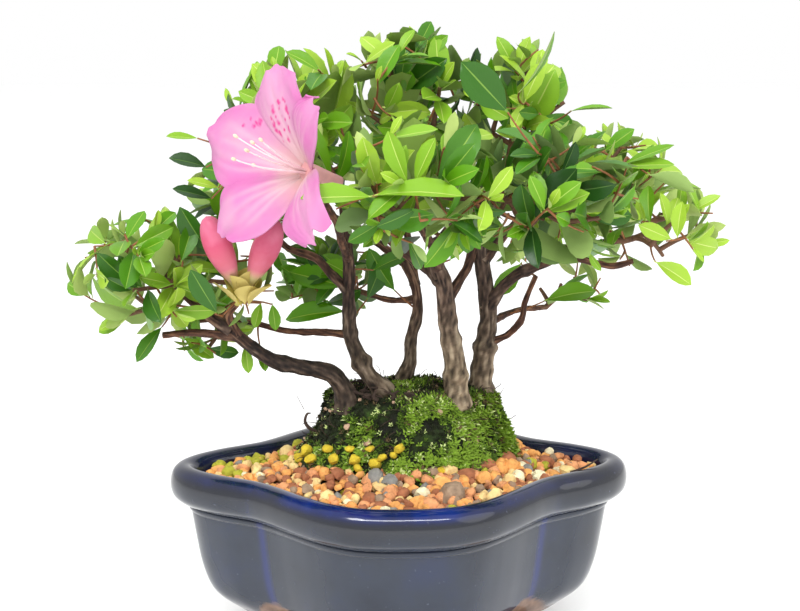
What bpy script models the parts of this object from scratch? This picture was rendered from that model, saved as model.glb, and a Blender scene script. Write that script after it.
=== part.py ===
"""Azalea bonsai: a clump of five stems on a moss mound, in a lobed blue-glazed pot.

All sizes are real sizes in millimetres, turned into metres where meshes are made.
The pot stands on its four feet at z = 0, its long side along X and its front towards -Y.
"""
import math
import random

import bmesh
import bpy
from mathutils import Matrix, Vector
from mathutils.bvhtree import BVHTree

MM = 0.001
CLEARANCE = 0.3            # between neighbouring solids
OBJECT_NAME = "azalea_bonsai"

# Pot: outer size of the lip, and a quarter of its lobed outline, from a side tip to the front
POT_WIDTH = 150.0
POT_DEPTH = 105.8
POT_TOP = 60.6
POT_QUARTER = (
    (68.7, 0.0), (65.8, 6.2), (58.4, 12.2), (51.4, 16.0), (45.4, 19.4), (40.2, 23.9),
    (35.0, 29.4), (29.4, 35.1), (23.0, 40.6), (15.6, 44.6), (7.9, 46.3), (0.0, 46.6),
)
QUARTER_INSET = 6.3        # how far inside the widest place of the lip that quarter lies
EVEN_INSET = 9.0           # up to this the wall follows the outline at an even distance
POT_OUTSIDE = (            # height, inset at the side lobes, inset at the front and back
    (6.0, 32.0, 22.0),
    (7.4, 27.0, 18.5),
    (11.3, 20.6, 14.6),
    (15.3, 14.8, 11.4),
    (19.6, 11.8, 9.8),
    (27.0, 9.4, 8.4),
    (37.0, 7.7, 7.3),
    (45.6, 6.5, 6.5),
    (47.4, 5.8, 5.8),
    (48.3, 3.2, 3.2),
    (50.8, 0.7, 0.7),
    (54.6, 0.0, 0.0),
    (58.2, 0.8, 0.8),
    (60.1, 2.6, 2.6),
)
POT_INSIDE = (
    (POT_TOP, 4.8, 4.8),
    (60.0, 6.8, 6.8),
    (58.2, 8.2, 8.2),
    (54.0, 9.2, 9.2),
    (37.0, 11.8, 11.4),
    (22.0, 17.0, 14.4),
    (13.6, 25.0, 19.0),
    (10.6, 33.0, 24.0),
)
FOOT_PLACE = (34.0, 18.5, 1.0)  # middle of a foot's rounded shape; the floor cuts it flat
FOOT_HALF = (14.0, 9.0, 13.5)
FOOT_TURN = math.radians(32.0)
FOOT_GAP = 0.45            # between the facets of a foot and of the bowl

# Soil and moss
SOIL_TOP = 57.0
SOIL_TOP_INSET = (9.1, 9.1)
SOIL_GAP = 0.45
SOIL_LEVELS = (37.0, 22.0, 13.6)
MOUND_FOOT = SOIL_TOP + CLEARANCE
MOUND_TOP = 81.6
MOUND_RINGS = (            # height, middle x, half width, half depth
    (MOUND_FOOT, 2.5, 37.0, 21.0),
    (61.0, 2.5, 35.0, 20.0),
    (66.5, 3.0, 32.0, 18.5),
    (73.5, 3.5, 29.8, 17.2),
    (79.0, 4.0, 28.6, 16.0),
    (MOUND_TOP, 4.0, 26.8, 14.0),
)
MOUND_MIDDLE_Y = 8.0
MOUND_POINTS = 24
MOUND_WOBBLE = 0.045

# Limbs: their way through named points, radius at the foot and at the tip
GROUND = MOUND_TOP + CLEARANCE
STEMS = {
    "stem_low_left": (((-17, 0, 78), (-18, -1, 84), (-22.5, -4, 91), (-31, -6, 93.5), (-40, -8, 96.3),
                       (-46, -10, 100.6), (-53.2, -12, 107.3)), 3.1, 1.7),
    "stem_left": (((-3, 2, 78), (-5.2, 2, 83), (-11, 3, 90), (-15.6, 5, 100.5), (-16.4, 5, 111),
                   (-16.2, 5, 123), (-17, 3.6, 134), (-18, 3, 145)), 2.7, 1.4),
    "stem_back": (((0.5, 14, 78), (1.5, 14, 83), (4, 15, 90), (4.4, 16, 97), (6.6, 17, 107),
                   (5.8, 18, 115.5), (2.3, 20, 123)), 2.3, 1.4),
    "stem_centre": (((18.4, 0, 78), (18.1, 0, 86), (17.7, 0, 94), (15.5, 0, 106), (14, -1, 118.5),
                     (11.6, -3, 126), (12, -4, 132.5)), 3.7, 2.3),
    "stem_right": (((27, 9, 78), (27.4, 9, 86), (28.6, 9, 97), (29.4, 9, 107), (28, 8.4, 119),
                    (26.4, 8, 130.5), (28.4, 4, 142), (33, 2, 155)), 3.5, 1.6),
}
ROOT_FLARE = 1.1           # added radius at the ground
FLARE_HEIGHT = 4.0         # the flare fades over this length
BOUGHS = {                 # each starts on the axis of the limb that carries it
    "bough_low_left": (((-53.2, -12, 107.3), (-60.8, -12, 112.2), (-68, -12, 119.2)), 1.6, 1.0),
    "bough_cut_stub": (((-51, -11.4, 105), (-63.7, -12, 106.5), (-74.5, -10, 105.5)), 1.3, 0.9),
    "bough_buds": (((-50.5, -11.2, 104.6), (-53.5, -14, 112.2), (-50.8, -16, 116.6)), 1.2, 0.9),
    "bough_left_twig": (((-16, 5, 101.5), (-25.8, 5, 102.5), (-36, 4, 103.2), (-45.6, 2, 106),
                         (-56, 1, 108.4)), 1.1, 0.7),
    "bough_left": (((-16.2, 5, 116), (-21.7, 8, 120.8), (-27, 10.5, 126), (-36, 13, 129),
                    (-41, 14, 134)), 1.5, 1.0),
    "bough_bloom": (((-16.4, 4.4, 127), (-18.5, -8, 134), (-20, -20, 142), (-24, -29, 150)), 1.3, 1.0),
    "bough_back_left": (((2.3, 20, 123), (-5, 23, 127.7), (-14, 27, 134), (-28, 35, 138.5)), 1.35, 1.0),
    "bough_low_back": (((6, 17.4, 110.5), (-2.2, 26, 108.7), (-10, 33, 109.6)), 1.1, 0.8),
    "bough_back": (((5.8, 18, 115.5), (4.5, 27, 127), (2, 36, 138), (0, 41, 144)), 1.3, 1.0),
    "bough_front": (((12.2, -2.4, 124), (9, -13, 134), (4, -27, 143), (2, -36, 150)), 1.5, 1.0),
    "bough_front_right": (((12, -4, 132.5), (16.2, -13, 140.6), (20, -21, 146),
                           (26, -28, 149)), 1.7, 1.1),
    "bough_top": (((13.4, -1.8, 120.5), (6.8, 4, 125), (-3, 4, 133), (-8, 4.4, 143),
                   (-7, 4, 152), (-2, 3, 160)), 1.7, 1.1),
    "bough_back_right": (((15, -0.4, 114), (21.4, 3, 123), (24.4, 9, 131), (27, 20, 138),
                          (33, 31, 142)), 1.5, 1.0),
    "bough_right": (((29.2, 9, 109), (33, 5, 116.2), (38.6, 1, 122.2), (47, -3, 126.4), (52, -5, 130.4),
                     (60, -6, 132.4), (67, -5.4, 133)), 2.0, 1.1),
    "bough_right_fork": (((50, -4.4, 128.4), (57, -8, 128), (66, -9, 126), (73, -8, 127.4)), 1.2, 0.8),
    "bough_low_right": (((29, 9, 97), (35.8, 8, 100.4), (39.8, 5, 106), (41.2, 6, 112),
                         (45, 10, 119.5)), 1.2, 0.7),
    "bough_upper_right": (((27.2, 7.8, 124.5), (36, 13, 134), (45, 16, 141), (54, 14, 146)), 1.5, 1.0),
    "bough_low_back_right": (((29.4, 9, 104), (41, 26, 104.6), (51, 38, 103)), 1.1, 0.8),
}
LIMB_STEP = 6.0            # length between two rings of a limb

# Foliage: the middle and size of each mass's space, its seed, its shoots
FLATNESS = 0.82            # height of a space against its width
MASSES = {                 # carrying limb, middle, half width, shoots, seed
    "foliage_far_left": ("bough_low_left", (-78, -6, 124), 27, 8, 11),
    "foliage_low_left": ("bough_left_twig", (-62, 2, 107), 17, 5, 12),
    "foliage_buds": ("bough_buds", (-52, -23, 125), 17, 5, 13),
    "foliage_left": ("bough_left", (-47, 15, 146), 22, 7, 14),
    "foliage_top_left": ("stem_left", (-31, 0, 172), 27, 8, 15),
    "foliage_top": ("bough_top", (3, 2, 179), 28, 8, 16),
    "foliage_top_right": ("stem_right", (37, 3, 176), 26, 8, 17),
    "foliage_right": ("bough_upper_right", (67, 10, 150), 25, 8, 18),
    "foliage_far_right": ("bough_right", (81, -6, 137), 23, 8, 19),
    "foliage_bloom": ("bough_bloom", (-37, -50, 163), 30, 9, 20),
    "foliage_front": ("bough_front", (3, -50, 156), 28, 8, 21),
    "foliage_front_right": ("bough_front_right", (42, -42, 152), 28, 8, 22),
    "foliage_back_left": ("bough_back_left", (-42, 47, 146), 26, 8, 23),
    "foliage_back": ("bough_back", (4, 52, 150), 29, 8, 24),
    "foliage_back_right": ("bough_back_right", (42, 47, 140), 28, 8, 25),
    "foliage_low_back": ("bough_low_back", (-23, 40, 115), 21, 6, 26),
    "foliage_low_back_right": ("bough_low_back_right", (61, 43, 109), 16, 4, 27),
}
TWIG_RADIUS = 1.0
TWIG_TIP_RADIUS = 0.85
COLLAR = 3.0               # a mass's stem first runs straight on from its limb
HEART_SHARE = 0.6          # how far into its space a mass's first twig runs
LEAVES_PER_SHOOT = 5
LEAF_SPACING = 1.3         # between two leaves of a shoot
LEAF_ATTEMPTS = 7
SHORTER = 0.87             # a leaf that does not fit is tried again at this share of its length
LEAF_LENGTH = (25.0, 32.0)
LEAF_WIDTH = 0.42          # of its length
LEAF_THICKNESS = 0.027     # of its length, at the keel
LEAF_KEEL = 0.35           # where along it the leaf is thickest
LEAF_WIDEST = 0.52         # where along it the leaf is widest
LEAF_APART = 0.7           # kept above and below another leaf
LEAF_SUNK = 0.3            # its root runs this far past the twig's middle
SHOOT_SPREAD = (22.0, 88.0)  # degrees from a shoot's axis, first and last leaf
GOLDEN_TURN = math.radians(137.5)

# Open flower
BLOOM_THROAT = Vector((-28.6, -51.0, 161.0))
BLOOM_FACING = Vector((-0.74, -0.60, 0.31)).normalized()
PETAL_LENGTH = 30.0
PETAL_WIDTH = 23.0
PETAL_THICKNESS = 0.9
BLOOM_TUBE = 13.0
PETALS = (                 # turn about the flower's axis, lift over its neighbours
    (math.radians(14.0), -0.9),
    (math.radians(84.0), 0.9),
    (math.radians(160.0), -0.5),
    (math.radians(229.0), 1.2),
    (math.radians(302.0), 0.4),
)
BUD_BASE = Vector((-48.3, -25.0, 123.5))
BUD_TIPS = (Vector((-58.2, -30.0, 145.5)), Vector((-37.5, -30.0, 144.5)))
BUD_HALF_WIDTH = 3.6
FIXTURES = {"foliage_bloom": BLOOM_THROAT - BLOOM_FACING * BLOOM_TUBE, "foliage_buds": BUD_BASE}

BARK = (0.13, 0.085, 0.06, 1.0)


def mm_object(name, mesh_builder, collection):
    """Put what a bmesh builder made, in millimetres, in a new object in metres."""
    made = bmesh.new()
    mesh_builder(made)
    bmesh.ops.recalc_face_normals(made, faces=made.faces)
    bmesh.ops.scale(made, vec=(MM, MM, MM), verts=made.verts)
    mesh = bpy.data.meshes.new(name)
    made.to_mesh(mesh)
    made.free()
    piece = bpy.data.objects.new(name, mesh)
    collection.objects.link(piece)
    return piece


def flat_material(name, colour, roughness, coat=0.0):
    finish = bpy.data.materials.new(name)
    finish.use_nodes = True
    shader = finish.node_tree.nodes["Principled BSDF"]
    shader.inputs["Base Color"].default_value = colour
    shader.inputs["Roughness"].default_value = roughness
    shader.inputs["Metallic"].default_value = 0.0
    shader.inputs["Coat Weight"].default_value = coat
    finish.diffuse_color = colour
    return finish


def dress(piece, finish, smooth_below=35.0):
    piece.data.materials.clear()
    piece.data.materials.append(finish)
    piece.data.shade_smooth()
    piece.data.set_sharp_from_angle(angle=math.radians(smooth_below))


def apply_modifiers(piece):
    """Swap a piece's mesh for what its modifiers make of it."""
    view_layer = bpy.context.view_layer
    view_layer.update()
    evaluated = piece.evaluated_get(bpy.context.evaluated_depsgraph_get())
    mesh = bpy.data.meshes.new_from_object(evaluated)
    piece.modifiers.clear()
    piece.data = mesh


def islands(made):
    """The groups of faces of a bmesh that hang together."""
    left = set(made.faces)
    while left:
        group = {left.pop()}
        edge_of_group = list(group)
        while edge_of_group:
            face = edge_of_group.pop()
            for edge in face.edges:
                for other in edge.link_faces:
                    if other in left:
                        left.remove(other)
                        group.add(other)
                        edge_of_group.append(other)
        yield group


def signed_volume(faces):
    total = 0.0
    for face in faces:
        corners = [vert.co for vert in face.verts]
        for second, third in zip(corners[1:], corners[2:]):
            total += corners[0].dot(second.cross(third)) / 6.0
    return total


def keep_main_body(piece):
    """Drop loose scraps and fill sealed hollows: only the largest skin stays."""
    made = bmesh.new()
    made.from_mesh(piece.data)
    bmesh.ops.triangulate(made, faces=made.faces)
    groups = sorted(islands(made), key=signed_volume)
    spare = [face for group in groups[:-1] for face in group]
    bmesh.ops.delete(made, geom=spare, context="FACES")
    made.to_mesh(piece.data)
    made.free()


def loft(made, rings):
    """Join rings of points into one skin, with a flat face over each end."""
    rows = [[made.verts.new(point) for point in ring] for ring in rings]
    count = len(rows[0])
    for low, high in zip(rows, rows[1:]):
        for i in range(count):
            after = (i + 1) % count
            made.faces.new((low[i], low[after], high[after]))
            made.faces.new((low[i], high[after], high[i]))
    made.faces.new(rows[0])
    made.faces.new(rows[-1])


def cut_level(made, height):
    """Cut away what is below a height, and close the cut with a flat face."""
    everything = made.verts[:] + made.edges[:] + made.faces[:]
    cut = bmesh.ops.bisect_plane(made, geom=everything, plane_co=(0, 0, height), plane_no=(0, 0, 1),
                                 clear_inner=True)
    rim = [item for item in cut["geom_cut"] if isinstance(item, bmesh.types.BMEdge)]
    bmesh.ops.contextual_create(made, geom=rim)
    bmesh.ops.triangulate(made, faces=[face for face in made.faces if len(face.verts) > 4])
    bmesh.ops.recalc_face_normals(made, faces=made.faces)


# --- Pot, feet, soil and moss -------------------------------------------------

def pot_ring(height, side_inset, front_inset):
    """One level outline of the pot, set in from the lip and, low down, drawn in to the base."""
    quarter = [Vector(knot) for knot in POT_QUARTER]
    knots = (quarter[:-1] + [Vector((-knot.x, knot.y)) for knot in quarter[:0:-1]]
             + [-knot for knot in quarter[:-1]] + [Vector((knot.x, -knot.y)) for knot in quarter[:0:-1]])
    even = min(side_inset, front_inset, EVEN_INSET)
    wide = 1 - (side_inset - even) / (POT_WIDTH / 2 - even)
    deep = 1 - (front_inset - even) / (POT_DEPTH / 2 - even)
    ring = []
    for i, knot in enumerate(knots):
        along = (knots[(i + 1) % len(knots)] - knots[i - 1]).normalized()
        place = knot + Vector((along.y, -along.x)) * (QUARTER_INSET - even)
        ring.append((place.x * wide, place.y * deep, height))
    return ring


def build_pot(collection, glaze):
    rings = [pot_ring(*level) for level in POT_OUTSIDE + POT_INSIDE]
    pot = mm_object("pot", lambda made: loft(made, rings), collection)
    dress(pot, glaze)
    return pot


def build_feet(collection, cutters, clay):
    """Four clay feet that hug the curve of the bowl under the notches."""
    rings = [pot_ring(*level) for level in POT_OUTSIDE]

    def bowl_skin(made):
        loft(made, rings)
        bmesh.ops.recalc_face_normals(made, faces=made.faces)
        made.normal_update()
        for vert in made.verts:
            vert.co += vert.normal * FOOT_GAP

    bowl = mm_object("bowl_cutter", bowl_skin, cutters)
    for depth_name, depth_sign in (("front", -1), ("back", 1)):
        for side_name, side_sign in (("left", -1), ("right", 1)):
            middle = Vector((side_sign * FOOT_PLACE[0], depth_sign * FOOT_PLACE[1], FOOT_PLACE[2]))
            turn = Matrix.Rotation(-side_sign * depth_sign * FOOT_TURN, 4, "Z")
            shape = Matrix.Translation(middle) @ turn @ Matrix.Diagonal((*FOOT_HALF, 1))

            def lump(made):
                bmesh.ops.create_uvsphere(made, u_segments=12, v_segments=8, radius=1, matrix=shape)
                cut_level(made, 0.0)

            foot = mm_object(f"foot_{depth_name}_{side_name}", lump, collection)
            cut_away(foot, bowl)
            keep_main_body(foot)
            dress(foot, clay)


def cut_away(piece, cutter):
    cut = piece.modifiers.new("cut", "BOOLEAN")
    cut.operation = "DIFFERENCE"
    cut.object = cutter
    apply_modifiers(piece)


def build_soil(collection, earth):
    """The soil fills the pot, clear of its inner wall and floor."""
    rings = [pot_ring(SOIL_TOP, *SOIL_TOP_INSET)]
    for height, side, front in POT_INSIDE:
        if height in SOIL_LEVELS:
            rings.append(pot_ring(height + CLEARANCE, side + SOIL_GAP, front + SOIL_GAP))
    soil = mm_object("soil", lambda made: loft(made, rings), collection)
    dress(soil, earth)


def mound_ring(height, middle_x, half_width, half_depth):
    ring = []
    for i in range(MOUND_POINTS):
        angle = math.tau * i / MOUND_POINTS
        wobble = 1 + MOUND_WOBBLE * (math.sin(3 * angle + 0.09 * height) + math.sin(5 * angle + 1.7))
        ring.append((middle_x + half_width * wobble * math.cos(angle),
                     MOUND_MIDDLE_Y + half_depth * wobble * math.sin(angle), height))
    return ring


def build_mound(collection, moss):
    rings = [mound_ring(*level) for level in MOUND_RINGS]
    mound = mm_object("moss_mound", lambda made: loft(made, rings), collection)
    dress(mound, moss, smooth_below=60.0)


# --- Stems and boughs ---------------------------------------------------------

def smooth_way(points):
    """A Catmull-Rom curve through the named points, in even steps."""
    knots = [Vector(point) for point in points]
    knots = [2 * knots[0] - knots[1]] + knots + [2 * knots[-1] - knots[-2]]
    way = [knots[1]]
    for before, start, end, after in zip(knots, knots[1:], knots[2:], knots[3:]):
        steps = max(1, round((end - start).length / LIMB_STEP))
        for step in range(1, steps + 1):
            t = step / steps
            way.append(0.5 * (2 * start + (end - before) * t
                              + (2 * before - 5 * start + 4 * end - after) * t ** 2
                              + (3 * start - before - 3 * end + after) * t ** 3))
    return way


def limb_radii(way, foot_radius, tip_radius, on_ground):
    lengths = [0.0]
    for start, end in zip(way, way[1:]):
        lengths.append(lengths[-1] + (end - start).length)
    radii = [foot_radius + (tip_radius - foot_radius) * length / lengths[-1] for length in lengths]
    if on_ground:
        radii = [radius + ROOT_FLARE * math.exp(-max(0.0, point.z - GROUND) / FLARE_HEIGHT)
                 for radius, point in zip(radii, way)]
    return radii


def tube(name, way, radii, collection):
    """A round, capped tube along a way, made by a curve with a bevel."""
    curve = bpy.data.curves.new(name + "_way", "CURVE")
    curve.dimensions = "3D"
    curve.bevel_depth = MM
    curve.bevel_resolution = 1
    curve.use_fill_caps = True
    spline = curve.splines.new("POLY")
    spline.points.add(len(way) - 1)
    for knot, point, radius in zip(spline.points, way, radii):
        knot.co = (*(point * MM), 1)
        knot.radius = radius
    guide = bpy.data.objects.new(name + "_way", curve)
    collection.objects.link(guide)
    bpy.context.view_layer.update()
    mesh = bpy.data.meshes.new_from_object(guide.evaluated_get(bpy.context.evaluated_depsgraph_get()))
    made = bmesh.new()
    made.from_mesh(mesh)
    bmesh.ops.remove_doubles(made, verts=made.verts, dist=1e-6)
    bmesh.ops.recalc_face_normals(made, faces=made.faces)
    made.to_mesh(mesh)
    made.free()
    bpy.data.objects.remove(guide)
    bpy.data.curves.remove(curve)
    piece = bpy.data.objects.new(name, mesh)
    collection.objects.link(piece)
    return piece


def cut_flat_at_ground(piece):
    made = bmesh.new()
    made.from_mesh(piece.data)
    cut_level(made, GROUND * MM)
    made.to_mesh(piece.data)
    made.free()


def lengthened(way, extra):
    """The way with both ends pushed out along themselves."""
    first = way[0] + (way[0] - way[1]).normalized() * extra
    last = way[-1] + (way[-1] - way[-2]).normalized() * extra
    return [first] + way[1:-1] + [last]


def ways_meet(one, other, reach):
    return min((a - b).length for a in one for b in other) < reach


def build_limbs(collection, cutters, bark):
    """Stems stand on the mound; each bough is cut clear of the limbs made before it."""
    limbs = {}
    for name, (points, foot_radius, tip_radius) in (STEMS | BOUGHS).items():
        on_ground = name in STEMS
        way = smooth_way(points)
        radii = limb_radii(way, foot_radius, tip_radius, on_ground)
        piece = tube(name, way, radii, collection)
        if on_ground:
            cut_flat_at_ground(piece)
        else:
            for other, (other_way, other_radii) in limbs.items():
                if ways_meet(way, other_way, LIMB_STEP + max(radii) + max(other_radii)):
                    fat = [radius + CLEARANCE for radius in other_radii]
                    cutter = tube(other + "_cutter", lengthened(other_way, CLEARANCE), fat, cutters)
                    cut_away(piece, cutter)
                    bpy.data.objects.remove(cutter)
        keep_main_body(piece)
        dress(piece, bark, smooth_below=50.0)
        limbs[name] = (way, radii)
    return limbs


# --- Foliage: every mass keeps to its own space -------------------------------

def squashed(point):
    """Space in which each mass's room is a ball."""
    return Vector((point[0], point[1], point[2] / FLATNESS))


def room_of(name):
    """A ball, less what lies nearer to a neighbour's ball, as flat walls."""
    middle = squashed(MASSES[name][1])
    size = MASSES[name][2]
    walls = []
    for other, (_, other_middle, other_size, _, _) in MASSES.items():
        if other != name:
            away = squashed(other_middle) - middle
            reach = (away.length_squared + size ** 2 - other_size ** 2) / (2 * away.length)
            walls.append((away.normalized(), away.normalized().dot(middle) + reach - CLEARANCE))
    return middle, size, walls


def in_room(room, points):
    middle, size, walls = room
    for point in points:
        place = squashed(point)
        if (place - middle).length > size:
            return False
        if any(normal.dot(place) > wall for normal, wall in walls):
            return False
    return True


def gap_to_segment(point, start, end):
    along = end - start
    t = max(0.0, min(1.0, (point - start).dot(along) / along.length_squared))
    return (point - start - along * t).length


def clear_of(bones, points, margin):
    for point in points:
        for start, end, radius in bones:
            if gap_to_segment(point, start, end) < radius + margin:
                return False
    return True


def between(start, end, count):
    return [start.lerp(end, (i + 0.5) / count) for i in range(count)]


def any_side(axis, angle):
    """A unit vector square to the axis, turned about it by the angle."""
    side = axis.orthogonal().normalized()
    return side * math.cos(angle) + axis.cross(side) * math.sin(angle)


def spread_targets(room, count, chance):
    """Places for shoots, each as far as it can be from the others."""
    middle, size, _ = room
    targets = []
    while len(targets) < count:
        best = None
        for _ in range(90):
            way = Vector((chance.gauss(0, 1), chance.gauss(0, 1), chance.gauss(0.25, 1))).normalized()
            place = middle + way * size * chance.uniform(0.30, 0.62)
            point = Vector((place.x, place.y, place.z * FLATNESS))
            if in_room(room, [point]):
                apart = min([(point - other).length for other in targets], default=size)
                if best is None or apart > best[0]:
                    best = (apart, point)
        targets.append(best[1])
    return targets


def grow(name, limbs, keep_out):
    """Twigs from the bough's tip to each shoot, and the leaves up each shoot."""
    carrier, _, _, shoots, seed = MASSES[name]
    chance = random.Random(seed)
    room = room_of(name)
    middle = Vector(MASSES[name][1])
    way = limbs[carrier][0]
    forward = (way[-1] - way[-2]).normalized()
    start = way[-1] + forward * CLEARANCE
    bones = keep_out + [(a, b, max(radii)) for key, (limb, radii) in limbs.items() if key != carrier
                        for a, b in zip(limb, limb[1:])]
    bones += [(a, b, max(limbs[carrier][1])) for a, b in zip(way[:-2], way[1:-1])]
    collar = start + forward * COLLAR
    heart = FIXTURES.get(name, collar.lerp(middle, HEART_SHARE))
    twigs = [(start, collar + forward * 0.5), (collar, heart)]
    nodes = between(collar, heart, 5)[:3] + ([] if name in FIXTURES else [heart])
    leaves = []
    for target in sorted(spread_targets(room, shoots, chance), key=lambda place: (place - heart).length):
        root = min(nodes, key=lambda node: (node - target).length + 0.35 * (node - start).length)
        path = between(root, target, 6)
        if not clear_of(bones, path[1:], TWIG_RADIUS + CLEARANCE) or (target - root).length < 3.0:
            continue
        twigs.append((root, target))
        nodes += path[2:] + [target]
    for root, target in twigs[1:]:
        others = [(a, b, TWIG_RADIUS) for a, b in twigs if b is not target]
        outward = (target - middle).normalized()
        leaves += leaves_of_shoot(root, target, outward, room, bones, others, leaves, chance)
    return twigs, leaves


def leaves_of_shoot(root, tip, outward, room, bones, twigs, others, chance):
    """A spiral of leaves down the shoot; one that does not fit is turned, shortened or skipped."""
    twig_heading = (tip - root).normalized()
    axis = (twig_heading * 0.5 + outward * 0.5 + Vector((0, 0, 0.3))).normalized()
    leaves = []
    turn = chance.uniform(0, math.tau)
    for i in range(LEAVES_PER_SHOOT):
        base = tip - twig_heading * LEAF_SPACING * i
        turn += GOLDEN_TURN
        for attempt in range(LEAF_ATTEMPTS):
            spread = SHOOT_SPREAD[0] + (SHOOT_SPREAD[1] - SHOOT_SPREAD[0]) * i / LEAVES_PER_SHOOT
            spread = math.radians(spread + chance.uniform(-10, 10))
            side = any_side(axis, turn + chance.uniform(-0.3, 0.3) * (1 + attempt))
            heading = axis * math.cos(spread) + side * math.sin(spread)
            upper = (axis - heading * axis.dot(heading)).normalized()
            leaf = (base, heading, upper, chance.uniform(*LEAF_LENGTH) * SHORTER ** attempt)
            outline = leaf_outline(leaf)
            if (in_room(room, outline[2:]) and clear_of(bones, outline[1:], 0.6)
                    and clear_of(twigs, outline[2:], 0.4) and not crosses(leaf, others + leaves)):
                leaves.append(leaf)
                break
    return leaves


def leaf_blade(leaf, shift):
    """The flat outline of a leaf beyond its root, as four corners."""
    base, heading, upper, length = leaf
    middle = base + heading * LEAF_WIDEST * length + upper * shift
    across = heading.cross(upper) * length * LEAF_WIDTH / 2
    return [base + heading * 0.12 * length + upper * shift, middle + across,
            base + heading * length + upper * shift, middle - across]


def crosses(leaf, others):
    """Whether the leaf would pass through one of the others."""
    if not others:
        return False
    near = [other for other in others if (other[0] - leaf[0]).length < 2 * LEAF_LENGTH[1]]
    blades = [leaf_blade(other, 0.0) for other in near]
    corners = [corner for blade in blades for corner in blade]
    faces = [tuple(range(4 * i, 4 * i + 4)) for i in range(len(blades))]
    standing = BVHTree.FromPolygons(corners, faces)
    for shift in (-LEAF_APART, 0.0, LEAF_APART):
        mine = BVHTree.FromPolygons(leaf_blade(leaf, shift), [(0, 1, 2, 3)])
        if standing.overlap(mine):
            return True
    return False


def leaf_outline(leaf):
    """Points round a leaf, from its sunk root to its tip, for the tests above."""
    base, heading, upper, length = leaf
    across = heading.cross(upper) * length * LEAF_WIDTH / 2
    points = [base, base + heading * 0.25 * length]
    for share, width in ((0.3, 0.5), (0.55, 1.0), (0.8, 0.5)):
        points += [base + heading * share * length + across * width,
                   base + heading * share * length - across * width,
                   base + heading * share * length]
    return points + [base + heading * length]


def leaf_shape(made, leaf):
    """A blade of six faces: flat above, with a keel below towards its root."""
    base, heading, upper, length = leaf
    across = heading.cross(upper) * length * LEAF_WIDTH / 2
    widest = base + heading * LEAF_WIDEST * length
    keel = base + heading * LEAF_KEEL * length - upper * LEAF_THICKNESS * length
    root, tip = (made.verts.new(point) for point in (base - heading * LEAF_SUNK, base + heading * length))
    ring = [made.verts.new(point) for point in (widest - across, widest + across, keel)]
    for one, other in zip(ring, ring[1:] + ring[:1]):
        made.faces.new((root, one, other))
        made.faces.new((tip, other, one))


def rod_shape(made, start, end, radius, tip_radius, sides=3):
    along = end - start
    shape = (Matrix.Translation((start + end) / 2) @ along.to_track_quat("Z", "Y").to_matrix().to_4x4())
    bmesh.ops.create_cone(made, cap_ends=True, segments=sides, radius1=radius, radius2=tip_radius,
                          depth=along.length, matrix=shape)


def knob_shape(made, middle, axis, radius, length):
    shape = (Matrix.Translation(middle) @ axis.to_track_quat("Z", "Y").to_matrix().to_4x4()
             @ Matrix.Diagonal((radius, radius, length / 2, 1)))
    bmesh.ops.create_uvsphere(made, u_segments=8, v_segments=6, radius=1, matrix=shape)


def build_mass(name, limbs, keep_out, extras, collection, leaf_green):
    twigs, leaves = grow(name, limbs, keep_out)
    loose = bpy.data.collections.new(name + "_pieces")
    bpy.context.scene.collection.children.link(loose)
    for number, (start, end) in enumerate(twigs):
        radius = TWIG_RADIUS * (1.15 if number < 2 else 1.0)
        tip_radius = radius if number < 2 else TWIG_TIP_RADIUS
        mm_object("twig", lambda made: rod_shape(made, start, end, radius, tip_radius), loose)
    for leaf in leaves:
        mm_object("leaf", lambda made: leaf_shape(made, leaf), loose)
    for shape in extras.get(name, []):
        mm_object("flower_piece", shape, loose)
    pieces = list(loose.objects)
    mass = pieces[0]
    loose.objects.unlink(mass)
    collection.objects.link(mass)
    mass.name = name
    join = mass.modifiers.new("join", "BOOLEAN")
    join.operation = "UNION"
    join.operand_type = "COLLECTION"
    join.collection = loose
    apply_modifiers(mass)
    keep_main_body(mass)
    for piece in pieces[1:]:
        bpy.data.objects.remove(piece)
    bpy.data.collections.remove(loose)
    dress(mass, leaf_green)


# --- Open flower and the pair of buds ----------------------------------------

def petal_point(along, across, petal):
    """A place on one petal: it rises out of the tube and rolls back at the tip."""
    turn, lift = PETALS[petal]
    side = BLOOM_FACING.cross(Vector((0, 0, 1))).normalized()
    top = side.cross(BLOOM_FACING)
    outward = side * math.sin(turn) + top * math.cos(turn)
    sideways = side * math.cos(turn) - top * math.sin(turn)
    half_width = PETAL_WIDTH / 2 * math.sin(math.pi * (0.06 + 0.86 * along)) ** 0.75
    rise = 13.0 * math.sin(1.9 * along) + lift * (0.3 + along) - 2.5 * across ** 2 * along
    return (BLOOM_THROAT + outward * (2.0 + (PETAL_LENGTH - 4.0) * along)
            + sideways * across * half_width + BLOOM_FACING * rise)


def petal_shape(petal):
    def shape(made):
        rows = 4
        columns = 3
        grid = [[petal_point(row / rows, 2 * column / columns - 1, petal) for column in range(columns + 1)]
                for row in range(rows + 1)]
        sheet = [[made.verts.new(point) for point in line] for line in grid]
        for low, high in zip(sheet, sheet[1:]):
            for i in range(columns):
                made.faces.new((low[i], low[i + 1], high[i + 1], high[i]))
        bmesh.ops.recalc_face_normals(made, faces=made.faces)
        bmesh.ops.solidify(made, geom=made.faces[:], thickness=PETAL_THICKNESS)
    return shape


def bloom_shapes():
    base = BLOOM_THROAT - BLOOM_FACING * BLOOM_TUBE
    shapes = [petal_shape(petal) for petal in range(len(PETALS))]
    shapes.append(lambda made: rod_shape(made, base, BLOOM_THROAT + BLOOM_FACING * 3.0, 2.0, 6.4, sides=7))
    return shapes


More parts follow.
